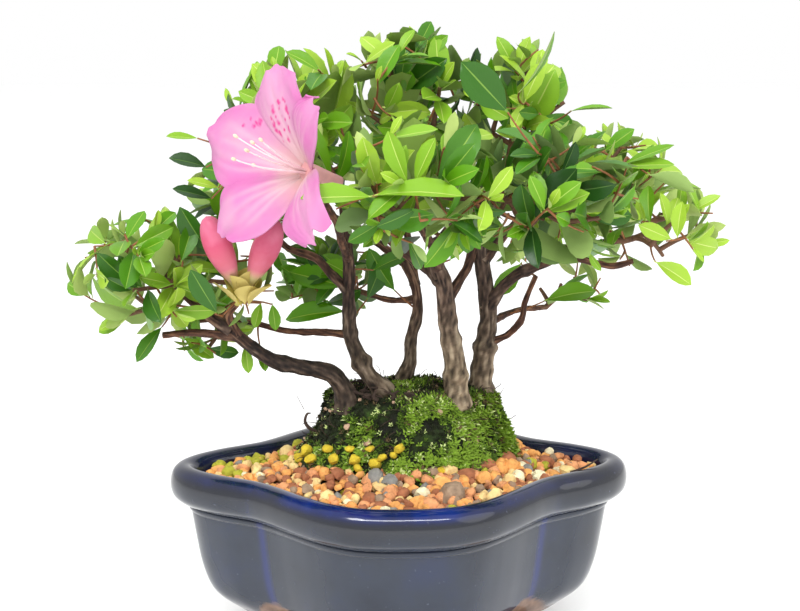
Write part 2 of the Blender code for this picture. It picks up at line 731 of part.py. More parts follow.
def bloom_bones():
    """Rods through the open flower and the buds, which leaves and twigs stay clear of."""
    base = BLOOM_THROAT - BLOOM_FACING * BLOOM_TUBE
    bones = [(base, BLOOM_THROAT, 4.0)]
    for petal in range(len(PETALS)):
        bones += [(petal_point(0.1, 0, petal), petal_point(0.55, 0, petal), 6.0),
                  (petal_point(0.55, 0, petal), petal_point(0.95, 0, petal), 7.5)]
    bones += [(BUD_BASE, tip, BUD_HALF_WIDTH) for tip in BUD_TIPS]
    return bones


def bud_shapes():
    """Two closed flower buds that stand in one cup of scales."""
    shapes = []
    for tip in BUD_TIPS:
        axis = (tip - BUD_BASE).normalized()
        length = (tip - BUD_BASE).length
        middle = BUD_BASE + axis * length * 0.55
        shapes.append(lambda made, middle=middle, axis=axis, length=length:
                      knob_shape(made, middle, axis, BUD_HALF_WIDTH, length * 0.9))
    up = Vector((0, 0, 1))
    shapes.append(lambda made: knob_shape(made, BUD_BASE, up, 4.6, 11.0))
    return shapes


def centre_over_footprint(parts):
    """Hang every part on one empty and set the whole box's middle over the origin."""
    root = bpy.data.objects.new(OBJECT_NAME + "_root", None)
    parts.objects.link(root)
    corners = [vert.co for piece in parts.objects if piece.type == "MESH" for vert in piece.data.vertices]
    for axis in range(2):
        low = min(corner[axis] for corner in corners)
        high = max(corner[axis] for corner in corners)
        root.location[axis] = -(low + high) / 2
    for piece in parts.objects:
        if piece is not root:
            piece.parent = root


def main():
    for leftover in list(bpy.data.objects):
        bpy.data.objects.remove(leftover)
    parts = bpy.data.collections.new(OBJECT_NAME)
    cutters = bpy.data.collections.new("cutters")
    for group in (parts, cutters):
        bpy.context.scene.collection.children.link(group)
    glaze = flat_material("blue_glaze", (0.03, 0.045, 0.09, 1), 0.25, coat=0.4)
    clay = flat_material("bare_clay", (0.30, 0.19, 0.14, 1), 0.85)
    earth = flat_material("gravel", (0.62, 0.38, 0.20, 1), 0.9)
    moss = flat_material("moss", (0.10, 0.19, 0.03, 1), 0.95)
    bark = flat_material("bark", BARK, 0.9)
    leaf_green = flat_material("leaf_green", (0.16, 0.36, 0.06, 1), 0.45)
    build_pot(parts, glaze)
    build_feet(parts, cutters, clay)
    build_soil(parts, earth)
    build_mound(parts, moss)
    limbs = build_limbs(parts, cutters, bark)
    keep_out = bloom_bones()
    extras = {"foliage_bloom": bloom_shapes(), "foliage_buds": bud_shapes()}
    for name in MASSES:
        build_mass(name, limbs, keep_out, extras, parts, leaf_green)
    for cutter in cutters.objects:
        cutter.hide_render = True
        cutter.display_type = "WIRE"
    centre_over_footprint(parts)


if __name__ == "__main__":
    main()
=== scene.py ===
"""Azalea bonsai in a lobed blue-glazed pot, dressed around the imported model.

Shapes are worked out in millimetres, with the pot's middle at x = y = 0 and its feet at z = 0,
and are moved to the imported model's frame when their meshes are made.
"""
import math
import random

import bmesh
import bpy
import numpy as np
from mathutils import Matrix, Vector, noise
from mathutils.bvhtree import BVHTree


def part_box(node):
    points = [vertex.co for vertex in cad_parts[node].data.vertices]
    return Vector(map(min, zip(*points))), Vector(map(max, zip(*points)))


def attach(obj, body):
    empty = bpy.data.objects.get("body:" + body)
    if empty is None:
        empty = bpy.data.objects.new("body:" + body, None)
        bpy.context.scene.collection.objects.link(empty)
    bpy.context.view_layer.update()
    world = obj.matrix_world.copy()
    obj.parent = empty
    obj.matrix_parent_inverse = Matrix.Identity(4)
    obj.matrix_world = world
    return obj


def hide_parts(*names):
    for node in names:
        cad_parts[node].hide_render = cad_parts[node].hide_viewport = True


MM = 0.001
UP = Vector((0, 0, 1))
# each part draws from its own run of random numbers; limbs, masses and petals add their number
SEEDS = {"gravel": 51, "moss": 77, "litter": 91, "limbs": 300, "masses": 600, "shown_leaves": 900,
         "freckles": 60, "stamens": 5, "bud_scales": 8}

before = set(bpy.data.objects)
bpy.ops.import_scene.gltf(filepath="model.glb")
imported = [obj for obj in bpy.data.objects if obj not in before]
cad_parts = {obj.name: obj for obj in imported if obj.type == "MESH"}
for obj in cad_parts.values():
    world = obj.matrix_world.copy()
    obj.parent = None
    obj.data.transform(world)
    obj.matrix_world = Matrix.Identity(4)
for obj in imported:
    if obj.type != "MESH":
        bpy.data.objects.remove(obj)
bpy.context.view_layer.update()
pot_low, pot_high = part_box("pot")
SHIFT = Vector(((pot_low.x + pot_high.x) / 2, (pot_low.y + pot_high.y) / 2, 0.0))


def srgb(red, green, blue):
    """A colour as a screen shows it, 0 to 255, as the shader's linear values."""
    return tuple((v / 255 / 12.92) if v / 255 <= 0.04045 else ((v / 255 + 0.055) / 1.055) ** 2.4
                 for v in (red, green, blue)) + (1.0,)


def shaded(colour, factor):
    return tuple(min(1.0, v * factor) for v in colour[:3]) + (1.0,)


def clamped(value):
    return max(0.0, min(1.0, value))


# --- Meshes -------------------------------------------------------------------

class Heap:
    """Points and faces of many small shapes that end up in one piece."""

    def __init__(self):
        self.points = []
        self.faces = []
        self.slots = []
        self.marks = {}

    def add(self, points, faces, slot=0, **marks):
        start = len(self.points)
        self.points.extend(points)
        self.faces.extend(tuple(start + i for i in face) for face in faces)
        self.slots.extend(slot if isinstance(slot, (list, tuple)) else [slot] * len(faces))
        for name, values in marks.items():
            self.marks.setdefault(name, []).extend(values)

    def piece(self, name, materials, sharp_above=60.0, material_slot=None, replaces=()):
        mesh = bpy.data.meshes.new(name)
        place = [(p[0] * MM + SHIFT.x, p[1] * MM + SHIFT.y, p[2] * MM) for p in self.points]
        mesh.from_pydata(place, [], self.faces)
        for finish in materials:
            mesh.materials.append(finish)
        mesh.polygons.foreach_set("material_index", self.slots)
        for mark, values in self.marks.items():
            mesh.attributes.new(mark, "FLOAT", "POINT").data.foreach_set("value", values)
        mesh.shade_smooth()
        mesh.set_sharp_from_angle(angle=math.radians(sharp_above))
        shown = bpy.data.objects.new(name, mesh)
        bpy.context.scene.collection.objects.link(shown)
        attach(shown, "root")
        if replaces:
            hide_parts(*replaces)
        return shown


def grid_faces(rows, columns, closed=False):
    """Quads between rows of points; closed joins each row's last point to its first."""
    faces = []
    for low in range(0, (rows - 1) * columns, columns):
        for column in range(columns if closed else columns - 1):
            after = (column + 1) % columns
            faces.append((low + column, low + after, low + columns + after, low + columns + column))
    return faces


def ring_faces(rows, columns, first=True, last=True):
    """Quads between closed rings of points, with the end rings filled in."""
    faces = grid_faces(rows, columns, closed=True)
    if first:
        faces.append(tuple(range(columns - 1, -1, -1)))
    if last:
        faces.append(tuple(range((rows - 1) * columns, rows * columns)))
    return faces


def spline(before, start, end, after, t):
    """The Catmull-Rom curve between start and end."""
    return 0.5 * (2 * start + (end - before) * t
                  + (2 * before - 5 * start + 4 * end - after) * t ** 2
                  + (3 * start - before - 3 * end + after) * t ** 3)


def quartets(knots):
    """Each stretch between two knots with its neighbours, the run carried on straight at both ends."""
    run = [2 * knots[0] - knots[1]] + knots + [2 * knots[-1] - knots[-2]]
    return zip(run, run[1:], run[2:], run[3:])


def catmull(knots, steps):
    """A smooth run through rows of numbers, with the given steps between two rows."""
    rows = [np.array(knot, float) for knot in knots]
    return [rows[0]] + [spline(*four, step / steps)
                        for four in quartets(rows) for step in range(1, steps + 1)]


# --- Materials ----------------------------------------------------------------

class Paint:
    """A material in the making: nodes are added one by one and end in its shader."""

    def __init__(self, name, viewport=None, roughness=0.5, specular=0.5, coat=0.0, coat_roughness=0.03):
        self.material = bpy.data.materials.new(name)
        self.material.use_nodes = True
        if viewport:
            self.material.diffuse_color = viewport
        self.tree = self.material.node_tree
        self.shader = self.tree.nodes["Principled BSDF"]
        self.surface("Roughness", roughness)
        self.surface("Specular IOR Level", specular)
        self.surface("Coat Weight", coat)
        self.surface("Coat Roughness", coat_roughness)

    def feed(self, socket, value):
        """Sets a socket, or links it to another node's output."""
        if isinstance(value, bpy.types.NodeSocket):
            self.tree.links.new(value, socket)
        else:
            socket.default_value = value

    def surface(self, name, value):
        self.feed(self.shader.inputs[name], value)

    def node(self, kind, output, inputs=(), **settings):
        made = self.tree.nodes.new(kind)
        for name, value in settings.items():
            setattr(made, name, value)
        for name, value in dict(inputs).items():
            self.feed(made.inputs[name], value)
        return made.outputs[output]

    def noise(self, scale, detail=4.0, stretch=None):
        place = self.node("ShaderNodeTexCoord", "Object")
        if stretch:
            place = self.node("ShaderNodeMapping", "Vector", {"Scale": stretch, "Vector": place})
        return self.node("ShaderNodeTexNoise", "Fac", {"Scale": scale, "Detail": detail, "Vector": place})

    def mark(self, name):
        return self.node("ShaderNodeAttribute", "Fac", attribute_name=name)

    def ramp(self, factor, *stops):
        """Colours along a factor, as (place, colour) stops; a lone number is a grey."""
        node = self.tree.nodes.new("ShaderNodeValToRGB")
        elements = node.color_ramp.elements
        while len(elements) < len(stops):
            elements.new(0.5)
        for element, (place, colour) in zip(elements, stops):
            element.position = place
            element.color = colour if isinstance(colour, tuple) else (colour, colour, colour, 1.0)
        self.feed(node.inputs["Fac"], factor)
        return node.outputs["Color"]

    def mix(self, factor, first, second, blend="MIX"):
        return self.node("ShaderNodeMix", "Result", {"Factor": factor, "A": first, "B": second},
                         data_type="RGBA", blend_type=blend)

    def bump(self, height, strength, distance):
        inputs = {"Height": height, "Strength": strength, "Distance": distance}
        self.surface("Normal", self.node("ShaderNodeBump", "Normal", inputs))


def mottled(name, colour, roughness, spread=0.15, grain=300.0, bump_depth=0.0002, specular=0.5):
    """A matt or satin surface whose colour and height vary with fine noise."""
    paint = Paint(name, colour, roughness, specular)
    paint.surface("Base Color", paint.ramp(paint.noise(grain), (0.3, shaded(colour, 1 - spread)),
                                           (0.7, shaded(colour, 1 + spread))))
    paint.bump(paint.noise(grain * 3), 0.5, bump_depth)
    return paint.material


# --- Pot ----------------------------------------------------------------------

POT_WIDTH = 150.0
POT_DEPTH = 105.8
POT_QUARTER = (            # a quarter of the outline, from a side tip to the front
    (68.7, 0), (65.8, 6.2), (58.4, 12.2), (51.4, 16), (45.4, 19.4), (40.2, 23.9),
    (35, 29.4), (29.4, 35.1), (23, 40.6), (15.6, 44.6), (7.9, 46.3), (0, 46.6),
)
QUARTER_INSET = 6.3        # how far inside the rim the quarter lies
EVEN_INSET = 9.0           # up to here an inset is even all round; beyond it the outline shrinks
OUTLINE_STEPS = 7
HALF_TURN_KNOTS = 22
NOTCHES = (4.1, 17.9)      # where the notches lie among the knots of half a turn
POT_PROFILE = (            # height, inset at the side lobes, inset at the front and back
    (6, 35, 24), (6.1, 32, 22), (7.4, 27, 18.5), (11.3, 20.6, 14.6), (15.3, 14.8, 11.4), (19.6, 11.8, 9.8),
    (27, 9.4, 8.4), (37, 7.7, 7.3), (43.2, 6.8, 6.8), (44.6, 6.7, 6.7), (45, 6.2, 6.2), (45.9, 5.8, 5.8),
    (46.6, 5.9, 5.9), (47, 6.2, 6.2), (47.5, 5.2, 5.2), (48.3, 3.2, 3.2), (50.8, 0.7, 0.7), (54.6, 0, 0),
    (58.2, 0.8, 0.8), (60.1, 2.6, 2.6), (60.6, 4.8, 4.8), (60, 6.8, 6.8), (58.2, 8.2, 8.2), (54, 9.2, 9.2),
    (46, 10.4, 10.2),
)
LIP_FOOT = 47.5
POOL_START = 0.735         # share of the profile beyond which the cobalt glaze has pooled
CLAY_EDGE = 11.0           # height of the bare clay, and how much higher it is in a notch
CLAY_RISE = 7.5


def outline_curve():
    """The quarter, mirrored and smoothed into a closed curve, and the way out at each of its points."""
    quarter = np.array(POT_QUARTER)
    knots = np.vstack((quarter[:-1], (quarter * (-1, 1))[:0:-1], -quarter[:-1], (quarter * (1, -1))[:0:-1]))
    four = [np.roll(knots, shift, axis=0) for shift in (1, 0, -1, -2)]
    steps = [spline(*four, step / OUTLINE_STEPS) for step in range(OUTLINE_STEPS)]
    curve = np.stack(steps, axis=1).reshape(-1, 2)
    along = np.roll(curve, -1, axis=0) - np.roll(curve, 1, axis=0)
    along /= np.linalg.norm(along, axis=1, keepdims=True)
    return curve, np.column_stack((along[:, 1], -along[:, 0]))


OUTLINE, OUTLINE_OUT = outline_curve()


def pot_ring(side_inset, front_inset):
    """The pot's outline at one level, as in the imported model."""
    even = min(side_inset, front_inset, EVEN_INSET)
    ring = OUTLINE + OUTLINE_OUT * (QUARTER_INSET - even)
    return ring * (1 - (side_inset - even) / (POT_WIDTH / 2 - even),
                   1 - (front_inset - even) / (POT_DEPTH / 2 - even))


def pot_reach(inset, angle):
    ring = pot_ring(inset, inset)
    angles = np.arctan2(ring[:, 1], ring[:, 0]) % math.tau
    order = np.argsort(angles)
    return float(np.interp(angle % math.tau, angles[order], np.hypot(ring[:, 0], ring[:, 1])[order],
                           period=math.tau))


def build_pot():
    body = Heap()
    levels = catmull(POT_PROFILE, 4)
    points, notch, crest, pool, clay = [], [], [], [], []
    for row, (height, side, front) in enumerate(levels):
        share = row / (len(levels) - 1)
        for i, (x, y) in enumerate(pot_ring(side, front)):
            from_notch = min(abs(i / OUTLINE_STEPS % HALF_TURN_KNOTS - place) for place in NOTCHES)
            angle = math.atan2(y, x)
            east, south = math.cos(angle), -math.sin(angle)
            blue = 0.15 + 0.85 * max(0.0, south) ** 0.7 * min(1.0, 1.05 - 0.9 * max(0.0, east))
            edge = (CLAY_EDGE + CLAY_RISE * math.exp(-(from_notch / 1.7) ** 2) + 0.8 * math.sin(9 * angle)
                    + noise.noise(Vector((8 * math.cos(angle), 8 * math.sin(angle), 3))))
            points.append((x, y, height))
            notch.append(math.exp(-(from_notch / 0.22) ** 2) * (1.0 if height < LIP_FOOT else 0.3))
            crest.append(share)
            pool.append(blue * clamped((share - POOL_START) / 0.03))
            clay.append(clamped((edge - height) / 0.7))
    faces = ring_faces(len(levels), len(OUTLINE), last=False)
    body.add(points, faces, notch=notch, crest=crest, pool=pool, clay=clay)
    return body.piece("pot_body", [glaze_material()], material_slot="glaze", replaces=["pot"])


def glaze_material():
    paint = Paint("glaze_dark_blue", srgb(42, 48, 66), specular=0.3, coat=0.6, coat_roughness=0.05)
    tone = paint.ramp(paint.noise(38.0, 5.0), (0.30, srgb(25, 31, 44)), (0.55, srgb(37, 45, 60)),
                      (0.78, srgb(34, 45, 76)))
    tone = paint.mix(paint.ramp(paint.mark("notch"), (0.10, 0), (1.0, 0.5)), tone, srgb(24, 42, 120))
    # along the profile: wall, painted shade in the groove under the lip, lip and crest painted nearly black
    # as a painted dark reflection, cobalt pooled inside it
    crest = paint.mark("crest")
    # painted shade: a dark navy band in the groove under the lip
    tone = paint.mix(paint.ramp(crest, (0.50, 0), (0.545, 0.8), (0.60, 0)), tone, srgb(18, 22, 40))
    # painted dark reflection: from the lip's upper roll over the crest and inside, the glaze is painted
    # nearly black
    tone = paint.mix(paint.ramp(crest, (0.66, 0), (0.74, 0.9)), tone, srgb(24, 25, 30))
    pooled = paint.ramp(paint.noise(60.0, 6.0, (1, 1, 0.3)), (0.28, srgb(4, 12, 36)), (0.50, srgb(6, 28, 92)),
                        (0.72, srgb(14, 46, 132)))
    tone = paint.mix(paint.mark("pool"), tone, pooled)
    tone = paint.mix(paint.ramp(paint.noise(900.0, 2.0), (0.72, 0), (0.76, 0.6)), tone, srgb(82, 88, 106))
    clay = paint.mark("clay")
    bare = paint.ramp(paint.noise(260.0), (0.3, srgb(112, 88, 74)), (0.7, srgb(148, 120, 102)))
    paint.surface("Base Color", paint.mix(clay, tone, bare))
    paint.surface("Roughness", paint.ramp(clay, (0.0, 0.17), (1.0, 0.85)))
    paint.bump(paint.noise(46.0, 3.0, (1, 1, 0.16)), 0.3, 0.0012)
    return paint.material


FOOT_PLACE = (34.0, 18.5, 1.0)
FOOT_HALF = (14.0, 9.0, 13.5)
FOOT_TURN = math.radians(32.0)


def build_feet():
    feet = Heap()
    rows, columns = 25, 48
    for depth_sign, side_sign in ((-1, -1), (-1, 1), (1, -1), (1, 1)):
        middle = Vector((side_sign * FOOT_PLACE[0], depth_sign * FOOT_PLACE[1], FOOT_PLACE[2]))
        turn = Matrix.Rotation(-side_sign * depth_sign * FOOT_TURN, 3, "Z")
        points = []
        for row in range(rows):
            rise = math.pi * (row + 0.001) / (rows - 0.998) - math.pi / 2
            for column in range(columns):
                around = math.tau * column / columns
                unit = Vector((math.cos(rise) * math.cos(around), math.cos(rise) * math.sin(around),
                               math.sin(rise)))
                worn = 1 + 0.025 * noise.noise(unit * 2.3 + middle * 0.1)
                place = middle + turn @ Vector([u * h * worn for u, h in zip(unit, FOOT_HALF)])
                place.z = max(0.0, place.z)
                points.append(place)
        feet.add(points, ring_faces(rows, columns))
    clay = mottled("bare_clay", srgb(134, 106, 88), 0.9, spread=0.25, grain=420.0, bump_depth=0.0005)
    names = [f"foot_{depth}_{side}" for depth in ("front", "back") for side in ("left", "right")]
    return feet.piece("clay_feet", [clay], material_slot="clay", replaces=names)


# --- Gravel and moss ----------------------------------------------------------

SOIL_TOP = 57.0
SOIL_INSET = 9.0
MOUND_MIDDLE = (2.5, 8.0)
MOUND_FOOT = (37.0, 21.0)  # half width and half depth where the gravel meets it
MOUND_RINGS = (            # height, middle x, half width, half depth
    (56, 2.5, 39, 22.5), (61, 2.5, 35, 20), (66.5, 3, 32, 18.5), (73.5, 3, 29.2, 17.2),
    (79, 2.6, 27.4, 16), (82.4, 3, 23.6, 13), (83.6, 3, 13, 7), (83.8, 3, 1, 0.6),
)
GRAVEL_TONES = (           # share of the grains, colour; the last is the mossy grains' own
    (0.29, srgb(238, 168, 98)), (0.22, srgb(224, 158, 110)), (0.13, srgb(246, 206, 142)),
    (0.18, srgb(164, 106, 76)), (0.08, srgb(156, 132, 110)), (0.05, srgb(136, 134, 130)),
    (0.05, srgb(240, 226, 190)), (0.0, srgb(178, 176, 62)),
)
SINGLE_STONES = (          # x, y, half width, tone
    (14.2, -27.9, 4.6, 4), (-8.4, -14.6, 3.2, 5), (-4.2, -17.5, 2.8, 5),
    (26, -13.5, 2.8, 0), (44, -12.5, 2.6, 6),
)
FIRST_LAYER = (5200, 0.97)  # tries, and how close two grains may lie as a share of their widths
TOP_LAYER = (9000, 0.9)
NEAR = 6                   # grains farther apart than this can't touch
GRAIN_CUTS = 9             # planes that cut a ball into a pebble


def mound_share(x, y):
    """How far out from the mound's middle a place is; 1 is the mound's foot."""
    return math.hypot((x - MOUND_MIDDLE[0]) / MOUND_FOOT[0], (y - MOUND_MIDDLE[1]) / MOUND_FOOT[1])


def gravel_height(x, y):
    """The gravel is heaped a little against the mound and rolls gently elsewhere."""
    return (SOIL_TOP - 0.4 + 2.6 * math.exp(-max(0.0, mound_share(x, y) - 1) * 4.5)
            + 1.4 * noise.noise(Vector((x * 0.05, y * 0.05, 5.0))))


def in_pot(x, y, inset):
    return math.hypot(x, y) < pot_reach(inset, math.atan2(y, x))


def build_soil_bed():
    bed = Heap()
    rings, columns = 16, 96
    points = []
    for ring in range(rings):
        share = 1 - ring / rings
        for i in range(columns):
            angle = math.tau * i / columns
            reach = pot_reach(SOIL_INSET, angle)
            x, y = math.cos(angle) * reach * share, math.sin(angle) * reach * share
            points.append((x, y, gravel_height(x, y) - 2.4 + 0.6 * noise.noise(Vector((x, y, 0)) * 0.4)))
    bed.add(points, ring_faces(rings, columns, first=False))
    # the earth under the gravel is dark partly as earth and partly as painted shade in the gaps between the
    # stones
    earth = mottled("earth_with_gap_shade", srgb(46, 32, 24), 0.95, spread=0.35, grain=500.0, bump_depth=0.001)
    return bed.piece("soil_bed", [earth], material_slot="gravel", replaces=["soil"])


def ball_template(levels):
    """Unit directions and faces of an icosphere."""
    made = bmesh.new()
    bmesh.ops.create_icosphere(made, subdivisions=levels, radius=1.0)
    points = np.array([vert.co[:] for vert in made.verts])
    faces = [tuple(vert.index for vert in face.verts) for face in made.faces]
    made.free()
    return points, faces


def random_way(chance, rise=0.0, rise_spread=1.0):
    """A unit vector that points anywhere, or mostly upwards or sideways."""
    return Vector((chance.gauss(0, 1), chance.gauss(0, 1), chance.gauss(rise, rise_spread))).normalized()


def stone_points(template, middle, half, chance):
    """A pebble: a ball cut by a few soft planes, turned and stretched."""
    angle = chance.uniform(0, math.tau)
    turn = np.array(Matrix.Rotation(angle, 3, random_way(chance)))
    radius = np.full(len(template), 1.18)
    for _ in range(GRAIN_CUTS):
        normal = np.array([chance.gauss(0, 1) for _ in range(3)])
        normal /= np.linalg.norm(normal)
        facing = np.clip(template @ normal, 1e-3, None)
        radius = np.minimum(radius, chance.uniform(0.74, 1.0) / facing)
    rough = np.array([1 + 0.05 * chance.gauss(0, 1) for _ in range(len(template))])
    shape = template * (radius * rough)[:, None]
    stretch = [chance.uniform(low, high) for low, high in ((0.85, 1.2), (0.8, 1.05), (0.7, 0.95))]
    return [tuple(point) for point in (shape * np.array(stretch) @ turn.T) * half + np.array(middle)]


def build_gravel():
    chance = random.Random(SEEDS["gravel"])
    coarse, fine = ball_template(1), ball_template(2)
    heaps = [Heap() for _ in GRAVEL_TONES]
    placed = []

    def lay(x, y, half, z, tone, ball=fine):
        heaps[tone].add(stone_points(ball[0], (x, y, z), half, chance), ball[1])

    def pick(x, y):
        if (x < -24 and y > 4 and chance.random() < 0.32) or chance.random() < 0.015:
            return len(GRAVEL_TONES) - 1
        draw = chance.random()
        for tone, (share, _) in enumerate(GRAVEL_TONES):
            draw -= share
            if draw <= 0:
                return tone
        return 0

    for layer, (tries, packing) in enumerate((FIRST_LAYER, TOP_LAYER)):
        for _ in range(tries):
            x, y = chance.uniform(-68, 68), chance.uniform(-47, 47)
            half = (1.5 + 1.6 * chance.random() ** 1.5) * (1.1 if x > 0 else 1.0)
            if not in_pot(x, y, SOIL_INSET + 0.6 + half * 0.8) or mound_share(x, y) < 0.96:
                continue
            near = [(other, r) for other, r in placed
                    if abs(other[0] - x) < NEAR and abs(other[1] - y) < NEAR]
            if any(math.hypot(other[0] - x, other[1] - y) < (half + r) * packing for other, r in near):
                continue
            if layer == 0:
                placed.append(((x, y), half))
            z = gravel_height(x, y) - 0.4 + half * 0.25 + chance.uniform(-0.8, 0.9)
            lay(x, y, half * 0.93, z, pick(x, y))
        if layer == 0:
            lower = [(x + chance.uniform(-2, 2), y + chance.uniform(-2, 2), half) for (x, y), half in placed]
            for x, y, half in lower:
                if in_pot(x, y, SOIL_INSET + half):
                    lay(x, y, half * 0.8, gravel_height(x, y) - 2.2, pick(x, y), coarse)
            placed = [(place, half * 0.55) for place, half in placed]
    for x, y, half, tone in SINGLE_STONES:
        lay(x, y, half, gravel_height(x, y) + 0.9, tone)
    for number, (heap, (_, colour)) in enumerate(zip(heaps, GRAVEL_TONES)):
        stone = mottled(f"grain_{number}", colour, 0.9, spread=0.26, grain=420.0, bump_depth=0.0012,
                        specular=0.2)
        heap.piece(f"gravel_{number}", [stone], sharp_above=42.0, material_slot="gravel")


def mound_surface(angle, share):
    """A place on the mound's skin, from its foot (0) to its middle on top (1), and its way out."""
    at = share * (len(MOUND_RINGS) - 1)
    low = min(int(at), len(MOUND_RINGS) - 2)
    height, middle_x, width, depth = (lower + (upper - lower) * (at - low) for lower, upper
                                      in zip(MOUND_RINGS[low], MOUND_RINGS[low + 1]))
    wobble = 1 + 0.045 * (math.sin(3 * angle + 0.09 * height) + math.sin(5 * angle + 1.7))
    skin = Vector((middle_x + width * wobble * math.cos(angle),
                   MOUND_MIDDLE[1] + depth * wobble * math.sin(angle), height))
    rough = 1.1 * noise.noise(skin * 0.14) + 0.7 * noise.noise(skin * 0.4) + 0.35 * noise.noise(skin * 1.1)
    out = Vector((math.cos(angle), math.sin(angle), 0.3 + 2.2 * max(0.0, share - 0.55))).normalized()
    return skin + out * rough, out


def any_mound_place(chance):
    return mound_surface(chance.uniform(0, math.tau), chance.uniform(0.1, 0.95))


TUFT_TRIES = 5200
# shaded, fresh and bright moss, pale tips, dry brown
MOSS_TONES = (srgb(30, 38, 13), srgb(74, 100, 24), srgb(124, 156, 46), srgb(200, 216, 140), srgb(96, 80, 52))


def moss_bed_material():
    paint = Paint("moss_bed", roughness=0.95)
    tone = paint.ramp(paint.noise(170.0, 6.0), (0.30, srgb(14, 14, 8)), (0.48, srgb(24, 30, 10)),
                      (0.62, srgb(42, 64, 14)), (0.78, srgb(70, 104, 20)))
    paint.surface("Base Color", tone)
    paint.bump(paint.noise(900.0, 6.0), 0.9, 0.0012)
    return paint.material


def build_mound():
    mound = Heap()
    rows, columns = 44, 140
    mound.add([mound_surface(math.tau * column / columns, row / (rows - 1))[0]
               for row in range(rows) for column in range(columns)], grid_faces(rows, columns, closed=True))
    mound.piece("moss_bed", [moss_bed_material()], material_slot="moss", replaces=["moss_mound"])
    build_moss()
    build_mound_litter()


def build_moss():
    """Tufts in five tones, thick and bright where the moss is lush, sparse where it is dark."""
    chance = random.Random(SEEDS["moss"])
    tufts = [Heap() for _ in MOSS_TONES]
    for _ in range(TUFT_TRIES):
        angle = chance.uniform(0, math.tau)
        share = chance.random() ** 0.8 * 0.97
        place, out = mound_surface(angle, share)
        lush = (0.46 + 0.013 * place.x - 0.010 * (place.z - 68)
                + 1.0 * noise.noise(place * 0.09 + Vector((0, 0, 9))))
        if chance.random() > 0.64 + 0.55 * lush:
            continue
        level = lush + chance.uniform(-0.3, 0.3)
        draw = chance.random()
        tone = 4 if draw < 0.07 else 3 if draw > 0.93 else max(0, min(2, int(level * 3.7)))
        add_tuft(tufts[tone], place, (out + UP * 0.5).normalized(), 0.9 + 1.3 * max(0.1, lush), chance)
    for number, heap in enumerate(tufts):
        moss = mottled(f"moss_{number}", MOSS_TONES[number], 0.75, spread=0.2, grain=700.0, bump_depth=0.0001,
                       specular=0.35)
        heap.piece(f"moss_tufts_{number}", [moss], material_slot="moss")


BLADE_FACES = ((0, 1, 4), (1, 2, 4), (2, 3, 4), (3, 0, 4), (0, 3, 2, 1))


def add_tuft(heap, place, out, length, chance):
    """A star of short pointed blades."""
    turn = chance.uniform(0, math.tau)
    count = chance.randint(4, 6)
    for blade in range(count):
        sideways = any_side(out, turn + math.tau * blade / count)
        reach = length * chance.uniform(0.8, 1.5)
        lean = (out * chance.uniform(0.5, 1.3) + sideways).normalized()
        flank = lean.cross(out).normalized() * reach * 0.2
        belly = place + lean * reach * 0.5
        ridge = belly + out * reach * 0.12
        heap.add([place - out * 0.3, belly + flank, place + lean * reach, belly - flank, ridge], BLADE_FACES)


LUMPS = (                  # yellow lumps on the side that shows: x, height, half width
    (-33, 63, 2.3), (-29.5, 61.5, 2), (-26.6, 65.6, 1.5), (-23.5, 62.6, 1.8), (-19.7, 66.4, 1.6),
    (-17, 63, 2), (-15, 60.6, 1.5), (-12.7, 66.8, 1.3), (-9.5, 62.4, 2.1), (-7.6, 64.4, 1.5),
    (-1.6, 67.4, 1.7), (-3.4, 65.6, 1.2), (-36, 60.5, 1.8), (12, 61, 1.4),
)
PEBBLE_COUNT = 26
THREAD_COUNT = 150
ROOTLET_COUNT = 34
STRANDS = (                # a dry curl, a thread and a twig: way, radii, sides, steps
    (((-27.5, -1, 71), (-29.4, -3, 72.5), (-30.8, -4, 75), (-30.2, -4, 77.5), (-29, -3, 77.6)),
     (0.5, 0.65, 0.5, 0.4, 0.2), 6, 4),
    (((-31, -4, 79), (-33.4, -3, 83.5)), (0.14, 0.1), 4, 3),
    (((54, -14, 60), (59, -12, 61), (63.6, -9, 62.6)), (0.4, 0.35, 0.2), 5, 4),
)


